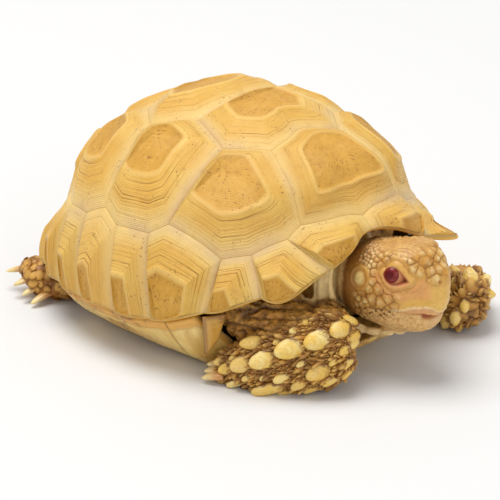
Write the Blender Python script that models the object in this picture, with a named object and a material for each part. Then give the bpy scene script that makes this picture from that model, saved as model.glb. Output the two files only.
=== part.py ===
"""A juvenile sulcata tortoise lying at rest, as one still, life-size model.

The head points along -Y, the animal's right side is -X, +Z is up, and the belly and feet rest
on the floor at z = 0. Each shell plate, the trunk, the neck, the head, each eye, each leg and
the tail is one object. The numbers below are millimetres; new_object() makes them metres.
"""
import math

import bmesh
import bpy
import numpy as np
from mathutils import Matrix, Vector

MM = 0.001
GAP = 0.42                      # clearance kept between neighbouring pieces

# Carapace: a dome from the apex down to a rim whose height changes round the shell
SHELL_LENGTH = 99.2
SHELL_WIDTH = 82.8
SHELL_HEIGHT = 54.7
APEX_Y = -1.95
PLAN_POWER = 2.21               # 2 would be an ellipse; more is squarer
REAR_WIDENING = 0.035
NOTCH_DEPTH = 4.2               # nuchal notch in the front edge
NOTCH_HALF_ANGLE = 9.0
RIM_ANGLES = (0, 25, 50, 75, 100, 130, 155, 180)
RIM_HEIGHTS = (33.6, 26.8, 20.2, 13.0, 11.2, 11.2, 10.2, 10.4)
FRONT_POWER, SIDE_POWER, REAR_POWER = 1.90, 2.085, 1.85
FRONT_FLARE, REAR_FLARE = 0.08, 0.18
SCUTE_THICKNESS = 1.5
SEAM_SINK = 0.8                 # the seams lie this far under the mean dome
AREOLA_RISE = 0.8               # the middles of the scutes lie this far over it
SCUTE_RINGS = ((0.5, 1.0), (0.8, 0.55), (1.0, 0.0))     # share out, share of the rise
RISES = {"vertebral_2": 0.9, "vertebral_3": 1.4, "vertebral_4": 1.2, "costal_3": 1.1}
RIM_START = 0.88                # past this share of the way to the rim, the relief dies away
RIM_RELIEF = 0.3                # to this share of itself
DISK_MM = 46.0                  # about how many millimetres one unit of the disk spans
LEFT_KICK = (2.1, -5.4, 0.8)    # the second left marginal flares out into a point
LEFT_KICK_ANGLE, LEFT_KICK_WIDTH = 36.0, 10.3
KICK_START = 0.925             # share of the way to the rim where the flare begins

# Corners of the scutes on the right side: (degrees from the front, share of the way to the rim)
MIDLINE_FRONT = (0, 0.88)
V1_C1_V2 = (29, 0.36)
V1_C1_M1 = (25, 0.75)
V2_C1_C2 = (59, 0.33)
V2_C2_V3 = (89, 0.21)
V3_C2_C3 = (111, 0.32)
V3_C3_V4 = (147, 0.32)
V4_C3_C4 = (147, 0.45)
V4_C4_V5 = (163, 0.54)
V5_C4_M10 = (149, 0.815)
C1_C2_M4 = (74, 0.66)
C2_C3_M6 = (97, 0.67)
C3_C4_M8 = (121, 0.70)
MARGINAL_TOPS = ((31, 0.79), (44, 0.81), (54, 0.80), (80, 0.70), (91, 0.71), (104, 0.72),
                 (114, 0.725), (126, 0.755), (138, 0.785), (153, 0.835), (168, 0.85))
MARGINAL_RIMS = (19, 41, 58, 75, 87, 98, 109, 121, 135, 150, 167)

# Plastron: flat belly, with wings that rise to the rim between the legs
BELLY_HALF_WIDTH = 25.0
PLATE_THICKNESS = 1.6
PLASTRON_STATIONS = (-47.0, -39.0, -27.0, -18.0, 12.0, 27.0, 40.0)
PLASTRON_NAMES = ("gular", "humeral", "pectoral", "abdominal", "femoral", "anal")
BRIDGE_START, BRIDGE_END = -22.5, 19.0
BRIDGE_LEAN = 3.7               # the wing's front edge leans forward this far by the rim
BRIDGE_EASE = 3.0
WING_POWER = 1.9                # how late the wings turn up
GULAR_RISE = 6.5                # the front lobe turns up this far toward the neck
GULAR_BEND = (25.0, 48.0)       # between these distances ahead of the middle
AXILLARY_THICKNESS = 1.0
AXILLARY_CORNERS = (            # outer and inner top, inner and outer foot, behind the right foreleg
    (-34.0, -29.0, 15.9), (-29.0, -29.9, 16.0), (-30.4, -28.0, 9.8), (-32.6, -27.9, 8.4))

# Trunk: the dome drawn in, standing just over the plastron
TRUNK_SCALE = (0.83, 0.72, 0.90)
TRUNK_FLOOR = 3.4

# Head and neck
HEAD_BACK = (0.0, -41.5, 22.4)
HEAD_YAW, HEAD_PITCH = 15.0, 0.0
HEAD_POWER = 2.45               # 2 would make its sections ovals; more is squarer
HEAD_SECTIONS = (               # forward, half width, top, bottom
    (0.0, 8.6, 7.5, -8.4), (3.0, 9.6, 8.8, -9.4), (7.5, 9.9, 9.3, -10.3), (12.0, 9.9, 10.1, -11.0),
    (15.5, 9.2, 10.5, -10.7), (18.5, 7.9, 9.2, -10.0), (20.1, 6.1, 7.8, -8.9), (21.5, 4.2, 6.4, -5.6),
    (22.4, 2.6, 5.6, -4.0), (23.2, 1.3, 5.0, -1.2))
EYE_PLACE = (12.7, 6.4, 5.0)    # forward, out, up
EYE_RADIUS = 2.8
NECK_START = (-0.5, -28.0, 19.0)
NECK_RADIUS = 9.0

# Legs
FOREARM_SECTIONS = (            # along the forearm, half height, half thickness, foot clearance
    (-6.5, 5.2, 3.0, 6.9), (-4.0, 8.0, 5.0, 3.6), (1.5, 9.9, 6.2, 1.1), (8.0, 9.7, 6.3, 0.0),
    (14.5, 7.9, 5.6, 0.0), (20.0, 5.8, 4.6, 0.0), (24.5, 3.7, 3.4, 0.0))
FORELEGS = {                    # elbow, heading of the forearm and of the hand, share of the
    # height, share of the clearance, outward lean, shoulder, radius of the arm there and at the elbow
    "right": ((-15.8, -47.4, 0.0), 47, 60, 1.0, 1.0, -0.15, (-20.0, -24.0, 15.5), 9.0, 6.2),
    "left": ((-31.0, -45.5, 0.0), 52, 72, 0.66, 0.6, 0.2, (-20.0, -24.0, 17.5), 5.6, 4.6)}
ELBOW_HEIGHT = 12.5             # the upper arm ends this high in the forearm
FOOT_SINK = -0.4                # the lowest line of each foot before the floor flattens it
CLAW_LENGTH, CLAW_RADIUS = 6.0, 1.25
HIND_CLAW_LENGTH, HIND_CLAW_RADIUS = 6.0, 1.05      # two of them inside the foot
HIND_CLAW_ROOTS = ((-31.9, 40.6, 6.0), (-32.2, 31.9, 2.6))     # rear and front claw
HIND_CLAW_HEADINGS = (58, 18, 8, 2)     # from the rear claw to the front one
HIND_CLAW_DROP = -0.25


def smooth(value, start, end):
    """Ease from 0 at start to 1 at end."""
    t = min(max((value - start) / (end - start), 0.0), 1.0)
    return t * t * (3.0 - 2.0 * t)


def rim_height(angle):
    """Height of the carapace's rim at an angle from the front, by cubic interpolation."""
    a = min(abs(angle), 180.0)
    xs, ys = RIM_ANGLES, RIM_HEIGHTS
    i = max(k for k in range(len(xs) - 1) if xs[k] <= a)

    def slope(k):
        low, high = max(k - 1, 0), min(k + 1, len(xs) - 1)
        return (ys[high] - ys[low]) / (xs[high] - xs[low]) if 0 < k < len(xs) - 1 else 0.0

    width = xs[i + 1] - xs[i]
    t = (a - xs[i]) / width
    h00, h10 = 2 * t**3 - 3 * t**2 + 1, t**3 - 2 * t**2 + t
    h01, h11 = -2 * t**3 + 3 * t**2, t**3 - t**2
    return h00 * ys[i] + h10 * width * slope(i) + h01 * ys[i + 1] + h11 * width * slope(i + 1)


def signed_power(value, power):
    return math.copysign(abs(value) ** power, value)


def dome(across, ahead):
    """Point of the mean carapace; (across, ahead) lies in a unit disk, its edge on the rim."""
    r = min(max(math.hypot(across, ahead), 1e-5), 1.0)
    phi = math.atan2(across, ahead)
    angle = abs(math.degrees(phi))
    x = -signed_power(math.sin(phi), 2 / PLAN_POWER) * SHELL_WIDTH / 2
    y = -signed_power(math.cos(phi), 2 / PLAN_POWER) * SHELL_LENGTH / 2
    x *= 1 + REAR_WIDENING * y / (SHELL_LENGTH / 2)
    y += NOTCH_DEPTH * math.exp(-((angle / NOTCH_HALF_ANGLE) ** 2))
    z = rim_height(angle)
    front, rear = 1 - smooth(angle, 25, 80), smooth(angle, 110, 165)
    power = SIDE_POWER + (FRONT_POWER - SIDE_POWER) * front + (REAR_POWER - SIDE_POWER) * rear
    out = math.sin(r * math.pi / 2) ** (2 / power)
    down = max(math.cos(r * math.pi / 2), 1e-9) ** (2 / power)
    if r > 0.5:
        out -= math.sin((r - 0.5) * 2 * math.pi) ** 2 * (FRONT_FLARE * front + REAR_FLARE * rear)
    point = Vector((x * out, APEX_Y * (1 - out) + y * out, z + (SHELL_HEIGHT - z) * down))
    if across < 0 and r > KICK_START:
        kick = math.exp(-(((angle - LEFT_KICK_ANGLE) / LEFT_KICK_WIDTH) ** 2))
        point += Vector(LEFT_KICK) * kick * smooth(r, KICK_START, 1.0)
    return point


def dome_normal(across, ahead):
    """Outward normal of the mean carapace."""
    step = 0.012
    r = math.hypot(across, ahead)
    if r > 1 - step:
        across, ahead = across * (1 - step) / r, ahead * (1 - step) / r
    u = dome(across + step, ahead) - dome(across - step, ahead)
    v = dome(across, ahead + step) - dome(across, ahead - step)
    normal = u.cross(v).normalized()
    return normal if normal.dot(Vector((-across, -ahead, 0.5))) > 0 else -normal


def disk(corner):
    """Turn (degrees from the front, radius) into disk coordinates."""
    phi = math.radians(corner[0])
    return np.array((corner[1] * math.sin(phi), corner[1] * math.cos(phi)))


def mirror(corners):
    return [(-angle, r) for angle, r in reversed(corners)]


def clear_scene():
    for item in list(bpy.data.objects):
        bpy.data.objects.remove(item, do_unlink=True)


def make_collection(name):
    collection = bpy.data.collections.new(name)
    bpy.context.scene.collection.children.link(collection)
    return collection


def make_material(name, colour, roughness):
    material = bpy.data.materials.new(name)
    material.use_nodes = True
    shader = material.node_tree.nodes["Principled BSDF"]
    shader.inputs["Base Color"].default_value = (*colour, 1.0)
    shader.inputs["Roughness"].default_value = roughness
    shader.inputs["Metallic"].default_value = 0.0
    material.diffuse_color = (*colour, 1.0)
    return material


COLOURS = {                     # linear colour, roughness
    "scute": ((0.62, 0.38, 0.13), 0.45), "plastron": ((0.74, 0.55, 0.25), 0.45),
    "skin": ((0.58, 0.36, 0.16), 0.7), "head": ((0.66, 0.43, 0.20), 0.6),
    "eye": ((0.24, 0.02, 0.025), 0.1), "trunk": ((0.60, 0.42, 0.24), 0.75)}


def new_object(name, verts, faces, look, collection):
    """Make a closed mesh object from points in millimetres, normals outward."""
    mesh = bpy.data.meshes.new(name)
    mesh.from_pydata([Vector(v) * MM for v in verts], [], faces)
    bm = bmesh.new()
    bm.from_mesh(mesh)
    bmesh.ops.remove_doubles(bm, verts=bm.verts, dist=1e-7)
    bmesh.ops.recalc_face_normals(bm, faces=bm.faces)
    bm.to_mesh(mesh)
    bm.free()
    item = bpy.data.objects.new(name, mesh)
    collection.objects.link(item)
    colour, roughness = COLOURS[look]
    mesh.materials.append(make_material(name + "_" + look, colour, roughness))
    return item


def outline_points(corners):
    """Walk round a scute; edges along the rim follow it, the others run straight."""
    points = []
    for start, end in zip(corners, corners[1:] + corners[:1]):
        a, b = disk(start), disk(end)
        on_rim = start[1] == 1 and end[1] == 1
        span = abs(end[0] - start[0]) % 360
        span = min(span, 360 - span)
        pieces = max(2, round(span / 8)) if on_rim else max(1, round(np.linalg.norm(b - a) / 0.19))
        for k in range(pieces):
            t = k / pieces
            if on_rim:
                turn = (end[0] - start[0] + 180) % 360 - 180
                points.append(disk((start[0] + turn * t, 1)))
            else:
                points.append(a + (b - a) * t)
    return points


def inset(points, distance):
    """Move every point of a closed outline inward by a distance."""
    count = len(points)
    middle = sum(points) / count
    moved = []
    for i in range(count):
        before, here, after = points[i - 1], points[i], points[(i + 1) % count]
        normals = []
        for a, b in ((before, here), (here, after)):
            along = (b - a) / np.linalg.norm(b - a)
            normal = np.array((-along[1], along[0]))
            normals.append(normal if normal.dot(middle - a) > 0 else -normal)
        shift = (normals[0] + normals[1]) / (1 + normals[0].dot(normals[1]))
        moved.append(here + shift * distance)
    return moved


def scute(name, corners, collection):
    """A shell plate: seam outline, raised areola, and an inner face that follows the dome."""
    seam = inset(outline_points(corners), GAP / 2 / DISK_MM)
    middle = sum(seam) / len(seam)
    count = len(seam)
    verts, faces = [], []

    rise = SEAM_SINK + RISES.get(name.removesuffix("_right").removesuffix("_left"), AREOLA_RISE)

    def add_point(place, share, depth):
        """A point at a share of the rise over the seam, and a depth under that."""
        relief = 1 - (1 - RIM_RELIEF) * smooth(math.hypot(*place), RIM_START, 1.0)
        height = (rise * share - SEAM_SINK) * relief - depth
        verts.append(dome(*place) + dome_normal(*place) * height)

    def add_side(rings, depth):
        """A fan round the middle, then a band of faces out to each further ring."""
        first = len(verts)
        add_point(middle, rings[0][1], depth)
        for out, share in rings:
            for point in seam:
                add_point(middle + (point - middle) * out, share, depth)
        for i in range(count):
            j = (i + 1) % count
            faces.append((first, first + 1 + i, first + 1 + j))
            for k in range(len(rings) - 1):
                low, high = first + 1 + k * count, first + 1 + (k + 1) * count
                faces.append((low + i, high + i, high + j, low + j))
        return first + 1 + (len(rings) - 1) * count

    outer = add_side(SCUTE_RINGS, 0.0)
    inner = add_side(((0.55, 0.0), (1.0, 0.0)), SCUTE_THICKNESS)
    for i in range(count):
        j = (i + 1) % count
        faces.append((outer + i, inner + i, inner + j, outer + j))
    return new_object(name, verts, faces, "scute", collection)


def build_carapace(collection):
    """Five vertebrals, four costals and eleven marginals a side, and the supracaudal."""
    half = {
        1: [MIDLINE_FRONT, V1_C1_M1, V1_C1_V2], 2: [V1_C1_V2, V2_C1_C2, V2_C2_V3],
        3: [V2_C2_V3, V3_C2_C3, V3_C3_V4], 4: [V3_C3_V4, V4_C3_C4, V4_C4_V5],
        5: [V4_C4_V5, V5_C4_M10, MARGINAL_TOPS[9], MARGINAL_TOPS[10]]}
    for number, right in half.items():
        left = mirror(right)
        if number == 1:
            left = left[:-1]
        scute(f"vertebral_{number}", right + left, collection)
    costals = {
        1: [V1_C1_V2, V1_C1_M1, *MARGINAL_TOPS[0:3], C1_C2_M4, V2_C1_C2],
        2: [V2_C1_C2, C1_C2_M4, *MARGINAL_TOPS[3:5], C2_C3_M6, V3_C2_C3, V2_C2_V3],
        3: [V3_C2_C3, C2_C3_M6, *MARGINAL_TOPS[5:7], C3_C4_M8, V4_C3_C4, V3_C3_V4],
        4: [V4_C3_C4, C3_C4_M8, *MARGINAL_TOPS[7:9], V5_C4_M10, V4_C4_V5]}
    extra = {1: [V1_C1_M1], 4: [C1_C2_M4], 6: [C2_C3_M6], 8: [C3_C4_M8], 10: [V5_C4_M10]}
    tops = (MIDLINE_FRONT,) + MARGINAL_TOPS
    rims = (0,) + MARGINAL_RIMS
    for side in ("right", "left"):
        flip = mirror if side == "left" else list
        for number, corners in costals.items():
            scute(f"costal_{number}_{side}", flip(corners), collection)
        for number in range(1, 12):
            corners = [tops[number - 1], *extra.get(number, []), tops[number],
                       (rims[number], 1), (rims[number - 1], 1)]
            scute(f"marginal_{number:02d}_{side}", flip(corners), collection)
    last, rim = MARGINAL_TOPS[-1], MARGINAL_RIMS[-1]
    scute("supracaudal", [last, (-last[0], last[1]), (-rim, 1), (rim, 1)], collection)


def rim_at(y):
    """Half width and height of the carapace's rim where it passes a given y."""
    angles = [k * 0.5 for k in range(20, 321)]
    points = [dome(*disk((angle, 1))) for angle in angles]
    nearest = min(points, key=lambda point: abs(point.y - y))
    return -nearest.x, nearest.z


def plastron_section(y, share):
    """Half width and edge height of the plastron at a given y, for a share of the way up the wing."""
    start = BRIDGE_START - BRIDGE_LEAN * share**2
    if y < 0:
        lobe = 8.0 + 12.5 * smooth(y, -47, -30)
        bridge = smooth(y, start - BRIDGE_EASE / 2, start + BRIDGE_EASE / 2)
    else:
        lobe = 22.0 - 12.0 * smooth(y, 12, 30)
        bridge = 1 - smooth(y, BRIDGE_END - BRIDGE_EASE / 2, BRIDGE_END + BRIDGE_EASE / 2)
    width, height = rim_at(min(max(y, start), BRIDGE_END))
    edge = 0.3 + GULAR_RISE * smooth(-y, *GULAR_BEND)
    return lobe + (width - 0.6 - lobe) * bridge, edge + (height - GAP - 0.3 - edge) * bridge


def plastron_ring(y, lift):
    """Points across the plastron from the right edge to the left, lifted along its normal."""
    rise = GULAR_RISE * smooth(-y, *GULAR_BEND)
    points = []
    for share in (1.0, 0.8, 0.6, 0.4, 0.2, 0.0):
        width, height = plastron_section(y, share)
        flat = min(BELLY_HALF_WIDTH, width * 0.78)
        climb = max(height - rise, 0.0)
        slope = math.atan(WING_POWER * climb / (width - flat) * share ** (WING_POWER - 1))
        x = flat + (width - flat) * share - lift * math.sin(slope)
        points.append(Vector((-x, y, rise + climb * share**WING_POWER + lift * math.cos(slope))))
    half = points + [Vector((points[-1].x / 2, y, rise + lift))]
    return half + [Vector((0, y, rise + lift))] + [Vector((-p.x, p.y, p.z)) for p in reversed(half)]


def build_plastron(collection):
    """Six pairs of plates, each pair one object."""
    ends = zip(PLASTRON_NAMES, PLASTRON_STATIONS, PLASTRON_STATIONS[1:])
    for name, start, end in ends:
        rows = 2 + round((end - start) / 5)
        ys = [start + GAP / 2 + (end - start - GAP) * k / (rows - 1) for k in range(rows)]
        rings = []
        for y in ys:
            lower, upper = plastron_ring(y, 0.0), plastron_ring(y, PLATE_THICKNESS)
            rings.append(lower + upper[::-1])
        loft("plastron_" + name, rings, "plastron", collection)


def build_axillaries(collection):
    """The small plate that hangs in front of each bridge, behind the foreleg."""
    for side, sign in (("right", 1), ("left", -1)):
        front = [Vector((x * sign, y, z)) for x, y, z in AXILLARY_CORNERS]
        back = [point + Vector((0, AXILLARY_THICKNESS, 0)) for point in front]
        loft("axillary_" + side, [front, back], "plastron", collection)


def loft(name, rings, look, collection):
    """A closed skin over rings of points, with a flat cap at each end."""
    verts = [point for ring in rings for point in ring]
    size = len(rings[0])
    faces = []
    for k in range(len(rings) - 1):
        for i in range(size):
            j = (i + 1) % size
            faces.append((k * size + i, k * size + j, (k + 1) * size + j, (k + 1) * size + i))
    last = (len(rings) - 1) * size
    faces.append(tuple(range(size)))
    faces.append(tuple(range(last, last + size)))
    return new_object(name, verts, faces, look, collection)


def oval_ring(centre, side, up, half_side, half_up, count=14, power=2.3, floor=None):
    """A superellipse of points round a centre; floor flattens what would pass under it."""
    ring = []
    for k in range(count):
        a = 2 * math.pi * (k + 0.5) / count
        point = Vector(centre) + Vector(side) * half_side * signed_power(math.cos(a), 2 / power)
        point += Vector(up) * half_up * signed_power(math.sin(a), 2 / power)
        if floor is not None:
            point.z = max(point.z, floor)
        ring.append(point)
    return ring


def trunk_rings(grow):
    """The dome drawn in toward its middle, with a flat underside; grow adds millimetres."""
    rings = []
    wide = 1 + grow / 32.0
    for radius in (0.16, 0.36, 0.56, 0.74, 0.88, 1.0):
        ring = []
        for k in range(24):
            point = dome(*disk((360 * k / 24 + 7.5, radius)))
            ring.append(Vector((point.x * TRUNK_SCALE[0] * wide, point.y * TRUNK_SCALE[1] * wide,
                                (point.z - 22) * TRUNK_SCALE[2] * wide + 22)))
        rings.append(ring)
    base = [Vector((p.x * 0.56, p.y * 0.8, TRUNK_FLOOR - grow)) for p in rings[-1]]
    return rings + [base]


def modify(item, kind, **settings):
    modifier = item.modifiers.new(kind.title(), kind)
    for key, value in settings.items():
        setattr(modifier, key, value)
    return modifier


def boolean(item, other, operation):
    modify(item, "BOOLEAN", operation=operation, solver="EXACT", object=other)


def head_frame():
    """Origin, forward, right and up directions of the head."""
    yaw, pitch = math.radians(HEAD_YAW), math.radians(HEAD_PITCH)
    forward = Vector((math.sin(yaw) * math.cos(pitch), -math.cos(yaw) * math.cos(pitch),
                      math.sin(pitch)))
    right = Vector((-math.cos(yaw), -math.sin(yaw), 0.0))
    return Vector(HEAD_BACK), forward, right, right.cross(forward)


def head_point(ahead, right, up):
    origin, forward, side, top = head_frame()
    return origin + forward * ahead + side * right + top * up


def build_head(collection, cutters):
    """Head and beak in one, with a socket for each eye."""
    origin, forward, side, top = head_frame()
    rings = []
    for ahead, half, high, low in HEAD_SECTIONS:
        centre = head_point(ahead, 0, (high + low) / 2)
        rings.append(oval_ring(centre, side, top, half, (high - low) / 2, 20, HEAD_POWER))
    head = loft("head", rings, "head", collection)
    for name, sign in (("right", 1), ("left", -1)):
        ahead, out, up = EYE_PLACE
        centre = head_point(ahead, sign * out, up)
        ball(f"eye_{name}", centre, EYE_RADIUS, "eye", collection)
        socket = ball(f"socket_{name}", centre, EYE_RADIUS + GAP, "eye", cutters)
        boolean(head, socket, "DIFFERENCE")


def ball(name, centre, radius, look, collection):
    bm = bmesh.new()
    bmesh.ops.create_uvsphere(bm, u_segments=16, v_segments=9, radius=radius * MM)
    mesh = bpy.data.meshes.new(name)
    bm.to_mesh(mesh)
    bm.free()
    item = bpy.data.objects.new(name, mesh)
    item.location = Vector(centre) * MM
    collection.objects.link(item)
    colour, roughness = COLOURS[look]
    mesh.materials.append(make_material(name + "_" + look, colour, roughness))
    return item


def build_neck(collection, trunk_cut):
    """From inside the trunk's cut to just behind the head."""
    origin, forward, side, top = head_frame()
    end = origin - forward * GAP
    start = Vector(NECK_START)
    rings = []
    for share in (0.0, 0.35, 0.7, 1.0):
        centre = start.lerp(end, share)
        across = Vector((-1, 0, 0)).lerp(side, share).normalized()
        upward = Vector((0, 0, 1)).lerp(top, share).normalized()
        radius = NECK_RADIUS - 1.6 * smooth(share, 0.5, 1.0)
        rings.append(oval_ring(centre, across, upward, radius, radius * 0.95, 16, 2.0))
    neck = loft("neck", rings, "skin", collection)
    boolean(neck, trunk_cut, "DIFFERENCE")


def claw(name, root, direction, length, radius, cutters):
    """A short cone that starts inside the foot."""
    start = Vector(root)
    along = Vector(direction).normalized()
    bm = bmesh.new()
    place = Matrix.Translation((start + along * length / 2) * MM)
    place @= along.to_track_quat("Z", "Y").to_matrix().to_4x4()
    bmesh.ops.create_cone(bm, cap_ends=True, segments=8, radius1=radius * MM, matrix=place,
                          radius2=radius * 0.25 * MM, depth=length * MM)
    mesh = bpy.data.meshes.new(name)
    bm.to_mesh(mesh)
    bm.free()
    item = bpy.data.objects.new(name, mesh)
    cutters.objects.link(item)
    return item


def heading(degrees):
    """Level direction; 0 is straight out to the animal's right, 90 is backward."""
    a = math.radians(degrees)
    return Vector((-math.cos(a), math.sin(a), 0.0))


def forearm_frames(side):
    """Middle, direction, way across, half height, half thickness and lean along the forearm."""
    elbow, forearm_turn, hand_turn, tall, clear, lean = FORELEGS[side][:6]
    along = heading(forearm_turn)
    for distance, half_up, half_side, clearance in FOREARM_SECTIONS:
        bend = smooth(distance, 8, 26) * (hand_turn - forearm_turn)
        turned = heading(forearm_turn + bend)
        across = Vector((turned.y, -turned.x, 0))
        centre = Vector(elbow) + along * min(distance, 8) + turned * max(distance - 8, 0)
        centre.z = half_up * tall + clearance * clear + FOOT_SINK
        yield centre, turned, across, half_up * tall, half_side, across * -lean + Vector((0, 0, 1))


def build_foreleg(side, collection, cutters, trunk_cut):
    """Upper arm, forearm folded back along the floor, and five claws."""
    sign = 1 if side == "right" else -1

    def place(vector):
        return Vector((vector.x * sign, vector.y, vector.z))

    rings = []
    for centre, turned, across, half_up, half_side, lean in forearm_frames(side):
        ring = oval_ring(centre, across, lean, half_side, half_up, 14, 2.3, 0.0)
        rings.append([place(point) for point in ring])
    leg = loft("foreleg_" + side, rings, "skin", collection)
    shoulder, start_radius, end_radius = FORELEGS[side][6:]
    elbow = Vector(FORELEGS[side][0]) + Vector((0, 0, ELBOW_HEIGHT * FORELEGS[side][3]))
    arm = []
    for share in (0.0, 0.3, 0.65, 1.0):
        radius = start_radius + (end_radius - start_radius) * share
        ring = oval_ring(Vector(shoulder).lerp(elbow, share), (1, 0, 0), (0, 0.25, 1), radius,
                         radius, 12, 2.0)
        arm.append([place(point) for point in ring])
    upper = loft(f"upper_arm_{side}", arm, "skin", cutters)
    boolean(leg, upper, "UNION")
    for k in range(5):
        spread = (k - 2) / 2
        root = centre + across * spread * 2.6 - turned * 2.0
        root.z = 2.4 + 1.6 * (1 - abs(spread))
        way = turned + across * spread * 0.35 + Vector((0, 0, -0.16))
        tip = claw(f"claw_{side}_{k}", place(root), place(way), CLAW_LENGTH, CLAW_RADIUS, cutters)
        boolean(leg, tip, "UNION")
    boolean(leg, trunk_cut, "DIFFERENCE")


def build_hindleg(side, collection, cutters, trunk_cut):
    """A short column under the rear rim, its foot turned out, with four claws."""
    sign = 1 if side == "right" else -1

    def place(vector):
        return Vector((vector[0] * sign, vector[1], vector[2]))

    stations = (                # centre, half width, half height
        ((-17.0, 22.0, 9.0), 6.5, 5.2), ((-22.0, 28.5, 6.0), 7.0, 5.2),
        ((-26.0, 33.5, 4.3), 7.2, 4.6), ((-29.5, 37.0, 4.0), 6.8, 4.3), ((-32.5, 40.5, 4.0), 5.0, 3.9))
    across = Vector((0.62, 0.78, 0.0))
    rings = []
    for centre, half_side, half_up in stations:
        ring = oval_ring(centre, across, (0, 0, 1), half_side, half_up, 14, 2.3, 0.0)
        rings.append([place(point) for point in ring])
    leg = loft("hindleg_" + side, rings, "skin", collection)
    first, last = (Vector(root) for root in HIND_CLAW_ROOTS)
    for k, turn in enumerate(HIND_CLAW_HEADINGS):
        way = heading(turn)
        way.z = HIND_CLAW_DROP
        root = first.lerp(last, k / 3)
        tip = claw(f"hind_claw_{side}_{k}", place(root), place(way), HIND_CLAW_LENGTH,
                   HIND_CLAW_RADIUS, cutters)
        boolean(leg, tip, "UNION")
    boolean(leg, trunk_cut, "DIFFERENCE")


def build_tail(collection, trunk_cut):
    """A short tail tucked sideways under the supracaudal."""
    stations = (((0.0, 30.0, 9.0), 4.6), ((1.5, 37.0, 8.0), 4.0), ((4.5, 41.5, 6.6), 2.9),
                ((8.5, 43.5, 5.6), 1.8), ((11.5, 43.8, 5.2), 0.8))
    ways = ((0.1, 1, 0), (0.35, 1, 0), (0.8, 0.8, 0), (1, 0.3, 0), (1, 0.1, 0))
    rings = []
    for (centre, radius), way in zip(stations, ways):
        along = Vector(way).normalized()
        across = Vector((along.y, -along.x, 0))
        rings.append(oval_ring(centre, across, (0, 0, 1), radius, radius * 0.9, 12, 2.0))
    tail = loft("tail", rings, "skin", collection)
    boolean(tail, trunk_cut, "DIFFERENCE")


def main():
    clear_scene()
    tortoise = make_collection("sulcata_tortoise")
    cutters = make_collection("cutters")
    build_carapace(tortoise)
    build_plastron(tortoise)
    build_axillaries(tortoise)
    loft("trunk", trunk_rings(0.0), "trunk", tortoise)
    trunk_cut = loft("trunk_cut", trunk_rings(GAP + 0.1), "trunk", cutters)
    build_head(tortoise, cutters)
    build_neck(tortoise, trunk_cut)
    for side in ("right", "left"):
        build_foreleg(side, tortoise, cutters, trunk_cut)
        build_hindleg(side, tortoise, cutters, trunk_cut)
    build_tail(tortoise, trunk_cut)
    for item in cutters.objects:
        item.hide_render = True
        item.display_type = "WIRE"


main()
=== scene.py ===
"""Looks of a juvenile sulcata tortoise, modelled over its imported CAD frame.

The head points along -Y, the animal's right side is -X and the floor is z = 0. Shapes are worked
out in millimetres, in the same numbers as the CAD, and put_mesh() makes them metres.
"""

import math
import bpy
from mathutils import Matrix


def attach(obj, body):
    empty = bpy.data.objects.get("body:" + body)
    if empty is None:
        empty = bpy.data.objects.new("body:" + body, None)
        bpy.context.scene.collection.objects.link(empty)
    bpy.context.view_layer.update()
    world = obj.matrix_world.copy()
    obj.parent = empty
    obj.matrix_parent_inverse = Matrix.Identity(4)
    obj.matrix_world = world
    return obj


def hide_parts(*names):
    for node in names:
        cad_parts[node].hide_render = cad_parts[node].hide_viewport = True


bl_info = {
    "name": "Sulcata Tortoise Looks",
    "version": (1, 0, 0),
    "blender": (4, 5, 0),
    "location": "3D View > Sidebar > Tortoise",
    "description": "Shell plates, skin, scales, claws, eyes and stage of a juvenile sulcata tortoise",
    "category": "Object",
}

import bpy
import numpy as np
from bpy.props import FloatProperty, FloatVectorProperty, IntProperty, PointerProperty
from mathutils import Matrix, Vector

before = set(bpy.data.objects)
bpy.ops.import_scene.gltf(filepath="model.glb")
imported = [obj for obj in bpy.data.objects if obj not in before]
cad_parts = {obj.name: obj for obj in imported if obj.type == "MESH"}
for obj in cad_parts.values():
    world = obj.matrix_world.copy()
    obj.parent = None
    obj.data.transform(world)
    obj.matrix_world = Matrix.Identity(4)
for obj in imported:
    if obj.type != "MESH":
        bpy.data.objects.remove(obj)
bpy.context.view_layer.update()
MM = 0.001
SIDES = ("right", "left")

# ---- Carapace: the CAD's dome and the corners of its plates

SHELL_LENGTH = 99.2
SHELL_WIDTH = 82.8
SHELL_HEIGHT = 54.7
APEX_Y = -1.95
PLAN_POWER = 2.21               # 2 would be an ellipse; more is squarer
REAR_WIDENING = 0.035
NOTCH_DEPTH = 4.2
NOTCH_HALF_ANGLE = 9.0
RIM_ANGLES = np.array((0.0, 25.0, 50.0, 75.0, 100.0, 130.0, 155.0, 180.0))
RIM_HEIGHTS = np.array((33.6, 26.8, 20.2, 13.0, 11.2, 11.2, 10.2, 10.4))
FRONT_POWER, SIDE_POWER, REAR_POWER = 1.90, 2.085, 1.85
FRONT_FLARE, REAR_FLARE = 0.08, 0.18
LEFT_KICK = (2.1, -5.4, 0.8)    # the second left marginal flares out into a point
LEFT_KICK_ANGLE, LEFT_KICK_WIDTH = 36.0, 10.3
KICK_START = 0.925             # share of the way to the rim where the flare begins
DISK_MM = 46.0                  # about how many millimetres one unit of the disk spans
SCUTE_THICKNESS = 1.9
SEAM_SINK = 0.8                 # the seams lie this far under the mean dome
AREOLA_RISE = 0.8               # the middles of the plates lie this far over it
RISES = {"vertebral_2": 0.9, "vertebral_3": 1.4, "vertebral_4": 1.2, "costal_3": 1.1}
RIM_START = 0.88                # past this share of the way to the rim, the relief dies away
RIM_RELIEF = 0.3                # to this share of itself

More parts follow.
